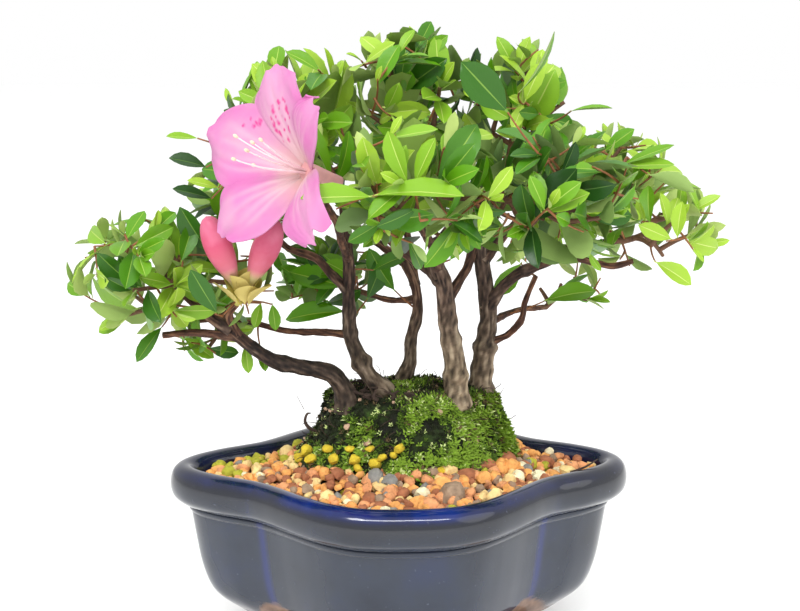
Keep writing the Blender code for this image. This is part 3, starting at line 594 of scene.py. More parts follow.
def build_mound_litter():
    """Pebbles, yellow lumps, dead threads, a dry curl and twigs that lie on the mound."""
    chance = random.Random(SEEDS["litter"])
    template, faces = ball_template(2)
    pale, yellow = Heap(), Heap()
    for _ in range(PEBBLE_COUNT):
        place, out = any_mound_place(chance)
        half = chance.uniform(0.5, 1.2)
        pale.add(stone_points(template, place + out * 0.5, half, chance), faces)
    last_ring = len(MOUND_RINGS) - 1
    for x, height, half in LUMPS:
        east = (x - MOUND_MIDDLE[0]) / MOUND_FOOT[0]
        angle = math.atan2(-math.sqrt(max(0.05, 1 - east ** 2)), east)
        ring = (height - 56.0) / 5.0 if height < 61 else 1 + (height - 61.0) / 5.5
        place, out = mound_surface(angle, ring / last_ring)
        yellow.add(stone_points(template, place + out * 1.4, half, chance), faces)
    pale.piece("mound_pebbles", [mottled("pebble_pale", srgb(186, 154, 128), 0.85, spread=0.2, grain=600.0)],
               sharp_above=40.0, material_slot="gravel")
    yellow.piece("mound_lumps", [mottled("lump_yellow", srgb(206, 182, 46), 0.85, spread=0.25, grain=500.0,
                                         bump_depth=0.0008)], sharp_above=40.0, material_slot="gravel")
    threads = Heap()
    for _ in range(THREAD_COUNT):
        place, out = any_mound_place(chance)
        drift = random_way(chance, rise_spread=0.7)
        way = [place - out * 0.4, place + out * 1.0 + drift * 1.5, place + out * 1.2 + drift * 3.6,
               place + out * 0.3 + drift * 6.0 + Vector((chance.uniform(-1, 1), 0, -0.6))]
        add_tube(threads, way, [0.14, 0.13, 0.12, 0.07], 4, 3)
    for way, radii, sides, steps in STRANDS:
        add_tube(threads, [Vector(point) for point in way], radii, sides, steps)
    for _ in range(ROOTLET_COUNT):
        root = Vector((chance.uniform(-18, 6), chance.uniform(-6, 12), 82.4))
        way = [root]
        for spans in (((-2, 2), (-1.5, 0.5), (0.6, 2.4)), ((-4, 4), (-3, 1), (0.2, 3.6))):
            way.append(root + Vector([chance.uniform(*span) for span in spans]))
        add_tube(threads, way, [0.7, 0.6, 0.3], 5, 3)
    threads.piece("mound_threads", [mottled("dead_threads", srgb(58, 44, 36), 0.9, spread=0.35, grain=400.0)],
                  material_slot="bark")


# --- Limbs --------------------------------------------------------------------

GROUND = 81.9
STEMS = {
    "stem_low_left": (((-17, 0, 78), (-18, -1, 84), (-22.5, -4, 91), (-31, -6, 93.5), (-40, -8, 96.3),
                       (-46, -10, 100.6), (-53.2, -12, 107.3)), 3.1, 1.7),
    "stem_left": (((-3, 2, 78), (-5.2, 2, 83), (-11, 3, 90), (-15.6, 5, 100.5), (-16.4, 5, 111),
                   (-16.2, 5, 123), (-17, 3.6, 134), (-18, 3, 145)), 2.7, 1.4),
    "stem_back": (((0.5, 14, 78), (1.5, 14, 83), (4, 15, 90), (4.4, 16, 97), (6.6, 17, 107),
                   (5.8, 18, 115.5), (2.3, 20, 123)), 2.3, 1.4),
    "stem_centre": (((18.4, 0, 78), (18.1, 0, 86), (17.7, 0, 94), (15.5, 0, 106), (14, -1, 118.5),
                     (11.6, -3, 126), (12, -4, 132.5)), 3.7, 2.3),
    "stem_right": (((27, 9, 78), (27.4, 9, 86), (28.6, 9, 97), (29.4, 9, 107), (28, 8.4, 119),
                    (26.4, 8, 130.5), (28.4, 4, 142), (33, 2, 155)), 3.5, 1.6),
}
BOUGHS = {                 # each starts on the axis of the limb that carries it
    "bough_low_left": (((-53.2, -12, 107.3), (-60.8, -12, 112.2), (-68, -12, 119.2)), 1.6, 1.0),
    "bough_cut_stub": (((-51, -11.4, 105), (-63.7, -12, 106.5), (-74.5, -10, 105.5)), 1.3, 0.9),
    "bough_buds": (((-50.5, -11.2, 104.6), (-53.5, -14, 112.2), (-50.8, -16, 116.6)), 1.2, 0.9),
    "bough_left_twig": (((-16, 5, 101.5), (-25.8, 5, 102.5), (-36, 4, 103.2), (-45.6, 2, 106),
                         (-56, 1, 108.4)), 1.1, 0.7),
    "bough_left": (((-16.2, 5, 116), (-21.7, 8, 120.8), (-27, 10.5, 126), (-36, 13, 129),
                    (-41, 14, 134)), 1.5, 1.0),
    "bough_bloom": (((-16.4, 4.4, 127), (-18.5, -8, 134), (-20, -20, 142), (-24, -29, 150)), 1.3, 1.0),
    "bough_back_left": (((2.3, 20, 123), (-5, 23, 127.7), (-14, 27, 134), (-28, 35, 138.5)), 1.35, 1.0),
    "bough_low_back": (((6, 17.4, 110.5), (-2.2, 26, 108.7), (-10, 33, 109.6)), 1.1, 0.8),
    "bough_back": (((5.8, 18, 115.5), (4.5, 27, 127), (2, 36, 138), (0, 41, 144)), 1.3, 1.0),
    "bough_front": (((12.2, -2.4, 124), (9, -13, 134), (4, -27, 143), (2, -36, 150)), 1.5, 1.0),
    "bough_front_right": (((12, -4, 132.5), (16.2, -13, 140.6), (20, -21, 146),
                           (26, -28, 149)), 1.7, 1.1),
    "bough_top": (((13.4, -1.8, 120.5), (6.8, 4, 125), (-3, 4, 133), (-8, 4.4, 143),
                   (-7, 4, 152), (-2, 3, 160)), 1.7, 1.1),
    "bough_back_right": (((15, -0.4, 114), (21.4, 3, 123), (24.4, 9, 131), (27, 20, 138),
                          (33, 31, 142)), 1.5, 1.0),
    "bough_right": (((29.2, 9, 109), (33, 5, 116.2), (38.6, 1, 122.2), (47, -3, 126.4), (52, -5, 130.4),
                     (60, -6, 132.4), (67, -5.4, 133)), 2.0, 1.1),
    "bough_right_fork": (((50, -4.4, 128.4), (57, -8, 128), (66, -9, 126), (73, -8, 127.4)), 1.2, 0.8),
    "bough_low_right": (((29, 9, 97), (35.8, 8, 100.4), (39.8, 5, 106), (41.2, 6, 112),
                         (45, 10, 119.5)), 1.2, 0.7),
    "bough_upper_right": (((27.2, 7.8, 124.5), (36, 13, 134), (45, 16, 141), (54, 14, 146)), 1.5, 1.0),
    "bough_low_back_right": (((29.4, 9, 104), (41, 26, 104.6), (51, 38, 103)), 1.1, 0.8),
}
BARK_SHADE = {"stem_centre": 0.0, "stem_right": 0.55, "stem_left": 0.75, "stem_low_left": 1.0}  # 1 is darkest
LIMB_STEP = 6.0            # of the coarse ways that the source's rule uses
FINE_STEP = 0.7            # of the limbs that are shown
THICK_LIMB = 2.2           # foot radius from which a limb gets more sides
KNOT_SPACING = 11
KNOT_WIDTH = 1.6
ROOT_FLARE = 1.1
FLARE_HEIGHT = 4.0


def smooth_way(points, step):
    """A smooth curve through the named points, in even steps."""
    knots = [Vector(point) for point in points]
    way = [knots[0]]
    for four in quartets(knots):
        steps = max(1, round((four[2] - four[1]).length / step))
        way += [spline(*four, i / steps) for i in range(1, steps + 1)]
    return way


def lengths_along(way):
    lengths = [0.0]
    for start, end in zip(way, way[1:]):
        lengths.append(lengths[-1] + (end - start).length)
    return lengths


def limb_radii(way, foot_radius, tip_radius, on_ground):
    lengths = lengths_along(way)
    radii = [foot_radius + (tip_radius - foot_radius) * length / lengths[-1] for length in lengths]
    if on_ground:
        radii = [radius + ROOT_FLARE * math.exp(-max(0.0, point.z - GROUND) / FLARE_HEIGHT)
                 for radius, point in zip(radii, way)]
    return radii


def frames_along(way):
    """Each place of a way with two vectors square to it, carried along without twisting."""
    side = (way[1] - way[0]).orthogonal().normalized()
    frames = []
    for i, point in enumerate(way):
        along = (way[min(i + 1, len(way) - 1)] - way[max(i - 1, 0)]).normalized()
        side = (side - along * side.dot(along)).normalized()
        frames.append((point, side, along.cross(side)))
    return frames


def add_tube(heap, way, radii, sides, steps=1, relief=None, **marks):
    """A tube round a way; relief(i, angle, point) gives the share of the radius and the bark's height."""
    if steps > 1:
        rows = catmull([(*point, radius) for point, radius in zip(way, radii)], steps)
        way = [Vector(row[:3]) for row in rows]
        radii = [row[3] for row in rows]
    points, heights = [], []
    for i, (point, side, other) in enumerate(frames_along(way)):
        for k in range(sides):
            angle = math.tau * k / sides
            share, height = relief(i, angle, point) if relief else (1.0, None)
            points.append(point + (side * math.cos(angle) + other * math.sin(angle)) * radii[i] * share)
            heights.append(height)
    values = {name: [value for value in run for _ in range(sides)] for name, run in marks.items()}
    if relief:
        values["relief"] = heights
    heap.add(points, ring_faces(len(way), sides), **values)


def bark_relief(seed, lengths, radii):
    """Long plates of bark with cracks between them, deeper on thick wood."""
    def relief(i, angle, point):
        radius = radii[i]
        around = Vector((math.cos(angle), math.sin(angle), 0)) * (1.1 + radius * 0.42)
        drift = 0.5 * noise.noise(Vector((angle, lengths[i] * 0.08, seed)))
        place = around + Vector((drift, 0, lengths[i] * 0.13 + seed * 7.3))
        plates = 1 - abs(noise.noise(place)) * 2.2
        fine = noise.noise(Vector((around.x * 3.1, around.y * 3.1, lengths[i] * 0.45 + seed)))
        lumps = noise.noise(point * 0.13 + Vector((seed, 0, 0)))
        height = clamped(0.62 - 0.55 * plates + 0.45 * fine + 0.15)
        depth = 0.30 / radius + 0.02
        return 1 + depth * (height - 0.45) * 1.3 + 0.09 * lumps, height
    return relief


def build_limbs():
    """The limbs with their bark, and the coarse ways and radii that the source's rule uses."""
    bark = Heap()
    limbs = {}
    for number, (name, (points, foot_radius, tip_radius)) in enumerate((STEMS | BOUGHS).items()):
        on_ground = name in STEMS
        coarse = smooth_way(points, LIMB_STEP)
        limbs[name] = (coarse, limb_radii(coarse, foot_radius, tip_radius, on_ground))
        way = smooth_way(points, FINE_STEP)
        radii = limb_radii(way, foot_radius, tip_radius, on_ground)
        lengths = lengths_along(way)
        if not on_ground:
            radii = [radius * (1 + 0.45 * math.exp(-length / (foot_radius * 2.2)))
                     for radius, length in zip(radii, lengths)]
        knots = [0.0] * len(way)
        chance = random.Random(SEEDS["limbs"] + number)
        for _ in range(int(lengths[-1] / KNOT_SPACING)):
            at = chance.uniform(0, lengths[-1])
            swell = chance.uniform(0.08, 0.2)
            knots = [knot + swell * math.exp(-((length - at) / KNOT_WIDTH) ** 2)
                     for knot, length in zip(knots, lengths)]
        radii = [radius * (1 + knot) for radius, knot in zip(radii, knots)]
        dusk = BARK_SHADE.get(name, 0.6)
        low = [clamped((1.5 - length / 24) * (1.1 - dusk)) if on_ground else 0.0 for length in lengths]
        young = [clamped((2.1 - radius) / 1.1) for radius in radii]
        sides = 30 if foot_radius > THICK_LIMB else 20
        relief = bark_relief(number + 1.0, lengths, radii)
        add_tube(bark, way, radii, sides, relief=relief, low=low, young=young, dusk=[dusk] * len(way))
    bark.piece("limbs", [bark_material()], sharp_above=75.0, material_slot="bark",
               replaces=list(STEMS) + list(BOUGHS))
    return limbs


def bark_material():
    """Old bark, darker on shaded stems, paler at the ground and brown on young wood."""
    paint = Paint("fissured_bark", srgb(92, 72, 60), 0.8, 0.35)
    relief = paint.mark("relief")
    # darker in the cracks and paler on the plates, here and in the ramps below: partly the bark's own colour,
    # partly painted shade in the cracks
    tone = paint.ramp(relief, (0.10, srgb(36, 28, 25)), (0.40, srgb(88, 69, 58)), (0.70, srgb(130, 107, 91)),
                      (0.95, srgb(164, 143, 124)))
    for mark, *stops in (
        ("dusk", (0.10, srgb(20, 14, 12)), (0.45, srgb(46, 34, 29)), (0.80, srgb(74, 58, 49)),
         (0.95, srgb(112, 94, 82))),
        ("low", (0.10, srgb(66, 55, 43)), (0.45, srgb(134, 116, 94)), (0.90, srgb(190, 172, 145))),
        ("young", (0.10, srgb(46, 28, 22)), (0.50, srgb(90, 57, 42)), (0.90, srgb(140, 98, 70))),
    ):
        tone = paint.mix(paint.mark(mark), tone, paint.ramp(relief, *stops))
    grime = paint.ramp(paint.noise(420.0, 5.0), (0.34, 0.62), (0.60, 1))
    paint.surface("Base Color", paint.mix(1.0, tone, grime, blend="MULTIPLY"))
    paint.bump(paint.noise(760.0, 6.0, (1, 1, 0.45)), 0.9, 0.0007)
    return paint.material


# --- Foliage: the source's rule, carried to finer twigs ------------------------

CLEARANCE = 0.3
FLATNESS = 0.82            # height of a space against its width
MASSES = {                 # carrying limb, middle, half width, shoots, seed
    "foliage_far_left": ("bough_low_left", (-78, -6, 124), 27, 8, 11),
    "foliage_low_left": ("bough_left_twig", (-62, 2, 107), 17, 5, 12),
    "foliage_buds": ("bough_buds", (-52, -23, 125), 17, 5, 13),
    "foliage_left": ("bough_left", (-47, 15, 146), 22, 7, 14),
    "foliage_top_left": ("stem_left", (-31, 0, 172), 27, 8, 15),
    "foliage_top": ("bough_top", (3, 2, 179), 28, 8, 16),
    "foliage_top_right": ("stem_right", (37, 3, 176), 26, 8, 17),
    "foliage_right": ("bough_upper_right", (67, 10, 150), 25, 8, 18),
    "foliage_far_right": ("bough_right", (81, -6, 137), 23, 8, 19),
    "foliage_bloom": ("bough_bloom", (-37, -50, 163), 30, 9, 20),
    "foliage_front": ("bough_front", (3, -50, 156), 28, 8, 21),
    "foliage_front_right": ("bough_front_right", (42, -42, 152), 28, 8, 22),
    "foliage_back_left": ("bough_back_left", (-42, 47, 146), 26, 8, 23),
    "foliage_back": ("bough_back", (4, 52, 150), 29, 8, 24),
    "foliage_back_right": ("bough_back_right", (42, 47, 140), 28, 8, 25),
    "foliage_low_back": ("bough_low_back", (-23, 40, 115), 21, 6, 26),
    "foliage_low_back_right": ("bough_low_back_right", (61, 43, 109), 16, 4, 27),
}
TWIG_RADIUS = 1.0
COLLAR = 3.0
HEART_SHARE = 0.6
SHORTER = 0.87
LEAF_LENGTH = (25.0, 32.0)
LEAF_WIDTH = 0.42
LEAF_WIDEST = 0.52
SHOOT_SPREAD = (22.0, 88.0)
GOLDEN_TURN = math.radians(137.5)
# leaves to a shoot, spacing, lengths, spread, attempts, room to limbs, room to other leaves
SOURCE_LEAVES = (5, 1.3, LEAF_LENGTH, SHOOT_SPREAD, 7, 0.6, 0.7)
FINE_LEAVES = (6, 0.9, (14.0, 24.0), SHOOT_SPREAD, 4, 0.5, 0.35)
YOUNG_LEAVES = (3, 0.9, (7.0, 13.0), (6.0, 30.0), 2, 0.5, 0.35)
LEAF_TO_TWIG = 0.4
# tries for a place, its distance from the middle as a share of the room, least distance to the others
SOURCE_PLACES = (90, (0.30, 0.62), -1.0)
FINE_PLACES = (30, (0.25, 0.84), 3.5)

BLOOM_THROAT = Vector((-28.6, -51.0, 161.0))
BLOOM_FACING = Vector((-0.74, -0.60, 0.31)).normalized()
PETAL_LENGTH = 30.0
PETAL_WIDTH = 23.0
BLOOM_TUBE = 13.0
PETALS = (                 # turn about the flower's axis, lift over its neighbours
    (math.radians(14.0), -0.9),
    (math.radians(84.0), 0.9),
    (math.radians(160.0), -0.5),
    (math.radians(229.0), 1.2),
    (math.radians(302.0), 0.4),
)
BUD_BASE = Vector((-48.3, -25.0, 123.5))
BUD_TIPS = (Vector((-58.2, -30.0, 145.5)), Vector((-37.5, -30.0, 144.5)))
BUD_HALF_WIDTH = 3.6
FIXTURES = {"foliage_bloom": BLOOM_THROAT - BLOOM_FACING * BLOOM_TUBE, "foliage_buds": BUD_BASE}


def squashed(point):
    """Space in which each mass's room is a ball."""
    return Vector((point[0], point[1], point[2] / FLATNESS))


def room_of(name):
    """A ball, less what lies nearer to a neighbour's ball, as flat walls."""
    middle = squashed(MASSES[name][1])
    size = MASSES[name][2]
    walls = []
    for other, (_, other_middle, other_size, _, _) in MASSES.items():
        if other != name:
            away = squashed(other_middle) - middle
            reach = (away.length_squared + size ** 2 - other_size ** 2) / (2 * away.length)
            walls.append((away.normalized(), away.normalized().dot(middle) + reach - CLEARANCE))
    return middle, size, walls


def in_room(room, points):
    middle, size, walls = room
    for point in points:
        place = squashed(point)
        if (place - middle).length > size:
            return False
        if any(normal.dot(place) > wall for normal, wall in walls):
            return False
    return True


def gap_to_segment(point, start, end):
    along = end - start
    t = max(0.0, min(1.0, (point - start).dot(along) / along.length_squared))
    return (point - start - along * t).length


def clear_of(bones, points, margin):
    for point in points:
        for start, end, radius in bones:
            if gap_to_segment(point, start, end) < radius + margin:
                return False
    return True


def between(start, end, count):
    return [start.lerp(end, (i + 0.5) / count) for i in range(count)]


def any_side(axis, angle):
    """A unit vector square to the axis, turned about it by the angle."""
    side = axis.orthogonal().normalized()
    return side * math.cos(angle) + axis.cross(side) * math.sin(angle)


def spread_targets(room, count, chance, rule, taken=()):
    """Places for shoots, each as far as it can be from the others and from the taken places."""
    middle, size, _ = room
    tries, band, least = rule
    targets = list(taken)
    for _ in range(count):
        farthest, best = least, None
        for _ in range(tries):
            way = random_way(chance, rise=0.25)
            place = middle + way * size * chance.uniform(*band)
            point = Vector((place.x, place.y, place.z * FLATNESS))
            if in_room(room, [point]):
                apart = min([(point - other).length for other in targets], default=size)
                if apart > farthest:
                    farthest, best = apart, point
        if best is not None:
            targets.append(best)
    return targets[len(taken):]


def leaf_outline(leaf):
    """Points round a leaf, from its root to its tip, for the tests."""
    base, heading, upper, length = leaf
    across = heading.cross(upper) * length * LEAF_WIDTH / 2
    points = [base, base + heading * 0.25 * length]
    for share, width in ((0.3, 0.5), (0.55, 1.0), (0.8, 0.5)):
        points += [base + heading * share * length + across * width,
                   base + heading * share * length - across * width,
                   base + heading * share * length]
    return points + [base + heading * length]


def leaf_blade(leaf, shift):
    base, heading, upper, length = leaf
    middle = base + heading * LEAF_WIDEST * length + upper * shift
    across = heading.cross(upper) * length * LEAF_WIDTH / 2
    return [base + heading * 0.12 * length + upper * shift, middle + across,
            base + heading * length + upper * shift, middle - across]


def crosses(leaf, others, apart):
    """Whether the leaf would pass through one of the others."""
    near = [other for other in others if (other[0] - leaf[0]).length < 2 * LEAF_LENGTH[1]]
    if not near:
        return False
    blades = [leaf_blade(other, 0.0) for other in near]
    corners = [corner for blade in blades for corner in blade]
    faces = [tuple(range(4 * i, 4 * i + 4)) for i in range(len(blades))]
    standing = BVHTree.FromPolygons(corners, faces)
    for shift in (-apart, 0.0, apart):
        if standing.overlap(BVHTree.FromPolygons(leaf_blade(leaf, shift), [(0, 1, 2, 3)])):
            return True
    return False


def leaves_of_shoot(shoot, rule, room, bones, others, chance, twigs=()):
    """A spiral of leaves down the shoot; one that does not fit is turned, shortened or skipped."""
    root, tip, outward = shoot
    count, spacing, lengths, spreads, attempts, to_limbs, to_leaves = rule
    twig_heading = (tip - root).normalized()
    axis = (twig_heading * 0.5 + outward * 0.5 + Vector((0, 0, 0.3))).normalized()
    leaves = []
    turn = chance.uniform(0, math.tau)
    for i in range(count):
        base = tip - twig_heading * spacing * i
        turn += GOLDEN_TURN
        for attempt in range(attempts):
            spread = spreads[0] + (spreads[1] - spreads[0]) * i / count
            spread = math.radians(spread + chance.uniform(-10, 10))
            side = any_side(axis, turn + chance.uniform(-0.3, 0.3) * (1 + attempt))
            heading = axis * math.cos(spread) + side * math.sin(spread)
            upper = (axis - heading * axis.dot(heading)).normalized()
            leaf = (base, heading, upper, chance.uniform(*lengths) * SHORTER ** attempt)
            outline = leaf_outline(leaf)
            if (in_room(room, outline[2:]) and clear_of(bones, outline[1:], to_limbs)
                    and clear_of(twigs, outline[2:], LEAF_TO_TWIG)
                    and not crosses(leaf, others + leaves, to_leaves)):
                leaves.append(leaf)
                break
    return leaves


def grow(name, limbs, keep_out):
    """The source's twigs and leaves of one mass, shoot by shoot, and what they stay clear of."""
    carrier, _, _, shoots, seed = MASSES[name]
    chance = random.Random(seed)
    room = room_of(name)
    middle = Vector(MASSES[name][1])
    way = limbs[carrier][0]
    forward = (way[-1] - way[-2]).normalized()
    start = way[-1] + forward * CLEARANCE
    bones = keep_out + [(a, b, max(radii)) for key, (limb, radii) in limbs.items() if key != carrier
                        for a, b in zip(limb, limb[1:])]
    bones += [(a, b, max(limbs[carrier][1])) for a, b in zip(way[:-2], way[1:-1])]
    collar = start + forward * COLLAR
    heart = FIXTURES.get(name, collar.lerp(middle, HEART_SHARE))
    twigs = [(start, collar + forward * 0.5), (collar, heart)]
    nodes = between(collar, heart, 5)[:3] + ([] if name in FIXTURES else [heart])
    targets = spread_targets(room, shoots, chance, SOURCE_PLACES)
    for target in sorted(targets, key=lambda place: (place - heart).length):
        root = min(nodes, key=lambda node: (node - target).length + 0.35 * (node - start).length)
        path = between(root, target, 6)
        if not clear_of(bones, path[1:], TWIG_RADIUS + CLEARANCE) or (target - root).length < 3.0:
            continue
        twigs.append((root, target))
        nodes += path[2:] + [target]
    leaves = []
    shoots = []
    for root, target in twigs[1:]:
        others = [(a, b, TWIG_RADIUS) for a, b in twigs if b is not target]
        shoot = (root, target, (target - middle).normalized())
        mine = leaves_of_shoot(shoot, SOURCE_LEAVES, room, bones, leaves, chance, others)
        leaves += mine
        shoots.append((shoot, mine))
    return twigs, shoots, nodes, room, bones


# --- Leaves and twigs -----------------------------------------------------------

LEAF_TONES = {             # upper side, midrib and stalk, under side
    "lime": (srgb(148, 184, 54), srgb(190, 208, 112), srgb(176, 198, 112)),
    "yellow_green": (srgb(120, 164, 38), srgb(172, 196, 94), srgb(156, 182, 102)),
    "fresh_green": (srgb(98, 148, 26), srgb(156, 186, 82), srgb(142, 170, 94)),
    "mid_green": (srgb(86, 142, 16), srgb(144, 176, 60), srgb(132, 162, 74)),
    "grass_green": (srgb(64, 118, 14), srgb(122, 158, 56), srgb(124, 152, 80)),
    "dark_green": (srgb(44, 92, 14), srgb(104, 140, 54), srgb(116, 144, 84)),
    "deep_green": (srgb(28, 66, 16), srgb(84, 118, 56), srgb(108, 134, 92)),
}
TONE_NAMES = list(LEAF_TONES)
GLOSSY_TONES = ("grass_green", "dark_green", "deep_green")
LEAF_ROWS = (              # place along the leaf, half width there as a share of the widest
    (0.0, 0.06), (0.08, 0.08), (0.18, 0.38), (0.34, 0.75), (0.55, 1.0), (0.74, 0.92), (0.89, 0.58),
    (1.0, 0.04),
)
LEAF_COLUMNS = (-1.0, -0.52, -0.045, 0.045, 0.52, 1.0)
SHOWN_LEAVES = (           # single leaves that stand out in the photo: root, tip, upper side, width, tone
    ((-11, -70, 156.2), (13.2, -76, 157.2), (0.1, -0.45, 0.9), 0.38, "yellow_green"),
    ((-10, -70, 156), (-29.4, -73, 156.6), (-0.1, -0.5, 0.85), 0.46, "yellow_green"),
    ((26.6, -60, 177.2), (13.4, -64, 190.8), (-0.35, -0.85, 0.3), 0.50, "dark_green"),
    ((-10.6, 12, 111.2), (-4, 15, 126.5), (0.3, -0.9, -0.2), 0.46, "dark_green"),
    ((-0.7, 14, 113.8), (-9.8, 12, 128.5), (-0.4, -0.85, -0.2), 0.44, "grass_green"),
    ((15.3, -6, 127.5), (19.3, -9, 136), (0.4, -0.85, -0.2), 0.46, "mid_green"),
    ((-8.7, 8, 122), (3, 6, 128.1), (0, -0.7, 0.7), 0.44, "grass_green"),
    ((41.2, 16, 123.1), (32, 14, 112.4), (0.4, -0.8, 0.4), 0.48, "fresh_green"),
    ((-58.6, -14, 131.6), (-67.4, -17, 146.4), (-0.5, -0.8, 0.2), 0.46, "dark_green"),
    ((-43.8, -8, 115.4), (-46, -10, 107.4), (-0.2, -0.9, 0.1), 0.44, "yellow_green"),
    ((-40.5, -8, 115), (-39.4, -10, 106.6), (0.2, -0.9, 0.1), 0.46, "fresh_green"),
    ((10.7, -8, 141.7), (7.2, -12, 137.6), (0.3, -0.8, 0.5), 0.40, "lime"),
    ((-9, -60, 158), (-13.1, -66, 171), (-0.2, -0.9, -0.2), 0.42, "lime"),
    ((-8, -60, 158), (-1.4, -66, 169), (0.2, -0.9, -0.1), 0.40, "yellow_green"),
    ((-16.5, 20, 114.2), (-36, 24, 119.2), (0.2, -0.75, 0.6), 0.46, "mid_green"),
    ((-16.5, 20, 106), (-38, 25, 103.4), (0.1, -0.6, 0.75), 0.40, "mid_green"),
    ((49, 18, 109.4), (67, 20, 112.8), (0, -0.7, 0.7), 0.42, "fresh_green"),
    ((33.5, -28, 181), (44, -30, 198), (0.8, -0.25, -0.4), 0.34, "fresh_green"),
    ((48.4, -28, 175.6), (60.6, -30, 177.2), (0.1, -0.2, 0.97), 0.30, "fresh_green"),
    ((61.6, -14, 162.4), (70.2, -16, 169.6), (-0.5, -0.8, 0.3), 0.42, "mid_green"),
    ((67.2, -14, 158.2), (82.8, -16, 164.6), (-0.2, -0.5, 0.85), 0.26, "fresh_green"),
    ((66.6, -14, 157.6), (82.8, -17, 159.4), (0, -0.6, 0.8), 0.32, "yellow_green"),
    ((-59.2, -34, 168.6), (-68, -38, 169.6), (0, -0.6, 0.8), 0.34, "yellow_green"),
    ((-57, -34, 160.2), (-67.2, -38, 163.8), (0.1, -0.7, 0.7), 0.44, "deep_green"),
    ((-53.6, -34, 154.2), (-62.2, -38, 157.4), (0.1, -0.7, 0.7), 0.34, "lime"),
    ((-56, -30, 150.6), (-67.2, -34, 154.2), (0.1, -0.7, 0.7), 0.36, "deep_green"),
    ((74, -20, 156), (88, -22, 151), (0.3, 0.75, 0.6), 0.44, "fresh_green"),
    ((-75, -5, 107.4), (-83.6, -8, 96.6), (-0.6, -0.7, 0.1), 0.42, "grass_green"),
    ((-69.5, 0, 102.5), (-59.6, -2, 96), (0.4, -0.85, 0.3), 0.42, "yellow_green"),
    ((-49.5, -4, 101), (-48.4, -6, 91.8), (0.1, -0.95, 0.2), 0.40, "yellow_green"),
    ((-45, -3, 101), (-43, -6, 92.4), (0.3, -0.9, 0.2), 0.38, "fresh_green"),
    ((77, -20, 129.4), (88.2, -23, 122.6), (0.2, -0.8, 0.5), 0.48, "lime"),
)
FINE_PER_SHOOT = 2.9       # finer twigs to each of the source's shoots
FINE_OVERLAP = 3.5         # finer sprays mingle with the neighbour's over this width
FINE_SWELL = 0.8           # and reach out of the mass's ball by this much
DARKEST = len(TONE_NAMES) - 1
YOUNG_WIDTH = 0.36
FINE_TWIG = (0.44, 0.24)   # radius at the foot and at the tip
SHOWN_TWIG = (0.38, 0.24)
BOW_PLACES = (0, 0.25, 0.5, 0.75, 1.0)


def leaf_skin():
    """The faces of a leaf and the slot of each: 0 above, 1 midrib and stalk, 2 below."""
    rows, columns = len(LEAF_ROWS), len(LEAF_COLUMNS)
    faces, slots = [], []
    for row in range(rows - 1):
        low, high = row * columns, (row + 1) * columns
        keel = rows * columns + row
        for column in range(columns - 1):
            faces.append((low + column, low + column + 1, high + column + 1, high + column))
            slots.append(1 if column == columns // 2 - 1 or row == 0 else 0)
        faces.append((low, high, keel + 1, keel))
        faces.append((keel, keel + 1, high + columns - 1, low + columns - 1))
        slots += [2, 2]
    last = (rows - 1) * columns
    faces.append((0, rows * columns, *range(columns - 1, 0, -1)))
    faces.append((*range(last, last + columns), rows * columns + rows - 1))
    return faces, slots + [1, 1]


LEAF_FACES, LEAF_SLOTS = leaf_skin()


def leaf_points(leaf, chance, width=LEAF_WIDTH):
    """An elliptic blade folded along its midrib, arched a little and bent down at the tip."""
    base, heading, upper, length = leaf
    across = heading.cross(upper)
    half = length * width / 2
    arch = length * chance.uniform(0.02, 0.07)
    droop = length * chance.uniform(0.0, 0.07)
    fold = chance.uniform(0.22, 0.42)
    cup = chance.uniform(-0.02, 0.16)
    top, under = [], []
    for share, wide in LEAF_ROWS:
        spine = (base + heading * length * share
                 + upper * (arch * math.sin(math.pi * share) - droop * share * share))
        reach = half * wide
        for column in LEAF_COLUMNS:
            groove = 0.02 * length * wide if abs(column) < 0.1 else 0.0
            rise = reach * abs(column) * (fold - cup * abs(column)) - groove
            top.append(spine + across * column * reach + upper * rise)
        under.append(spine - upper * (0.028 * length * max(0.35, wide)))
    return top + under


def leaf_material(name, colour, roughness, coat):
    paint = Paint(name, colour, roughness, specular=0.28, coat=coat, coat_roughness=0.28)
    paint.surface("Base Color", colour)
    paint.bump(paint.noise(900.0, 3.0), 0.35, 0.0002)
    return paint.material


def leaf_materials(name, colours, roughnesses, coats):
    return [leaf_material(f"{name}_{part}", *looks)
            for part, *looks in zip(("upper", "rib", "under"), colours, roughnesses, coats)]


def tone_of(place, chance):
    """A number from 0, the palest tone, to 6, the darkest, that drifts over the crown; higher up and far out
    at the sides it is paler, as painted light, and lower down darker, as painted shade.
    """
    drift = noise.noise(Vector((place.x, place.y, place.z)) * 0.035 + Vector((2.0, 0.0, 7.0)))
    # painted light: higher leaves and those far out at the left and right get paler tones, lower leaves
    # darker ones as painted shade
    level = (3.0 + 3.8 * drift + chance.gauss(0, 1.2) - 0.028 * (place.z - 150)
             - 0.10 * max(0.0, place.x - 45) - 0.05 * max(0.0, -place.x - 55))
    return max(0, min(DARKEST, round(level)))


def twig_tube(heap, start, end, radius, tip_radius, chance, sides=7):
    """A twig with a slight bow."""
    side = any_side((end - start).normalized(), chance.uniform(0, math.tau))
    bow = (end - start).length * chance.uniform(0.02, 0.07)
    way = [start.lerp(end, t) + side * bow * math.sin(math.pi * t) for t in BOW_PLACES]
    add_tube(heap, way, [radius + (tip_radius - radius) * t for t in BOW_PLACES], sides)


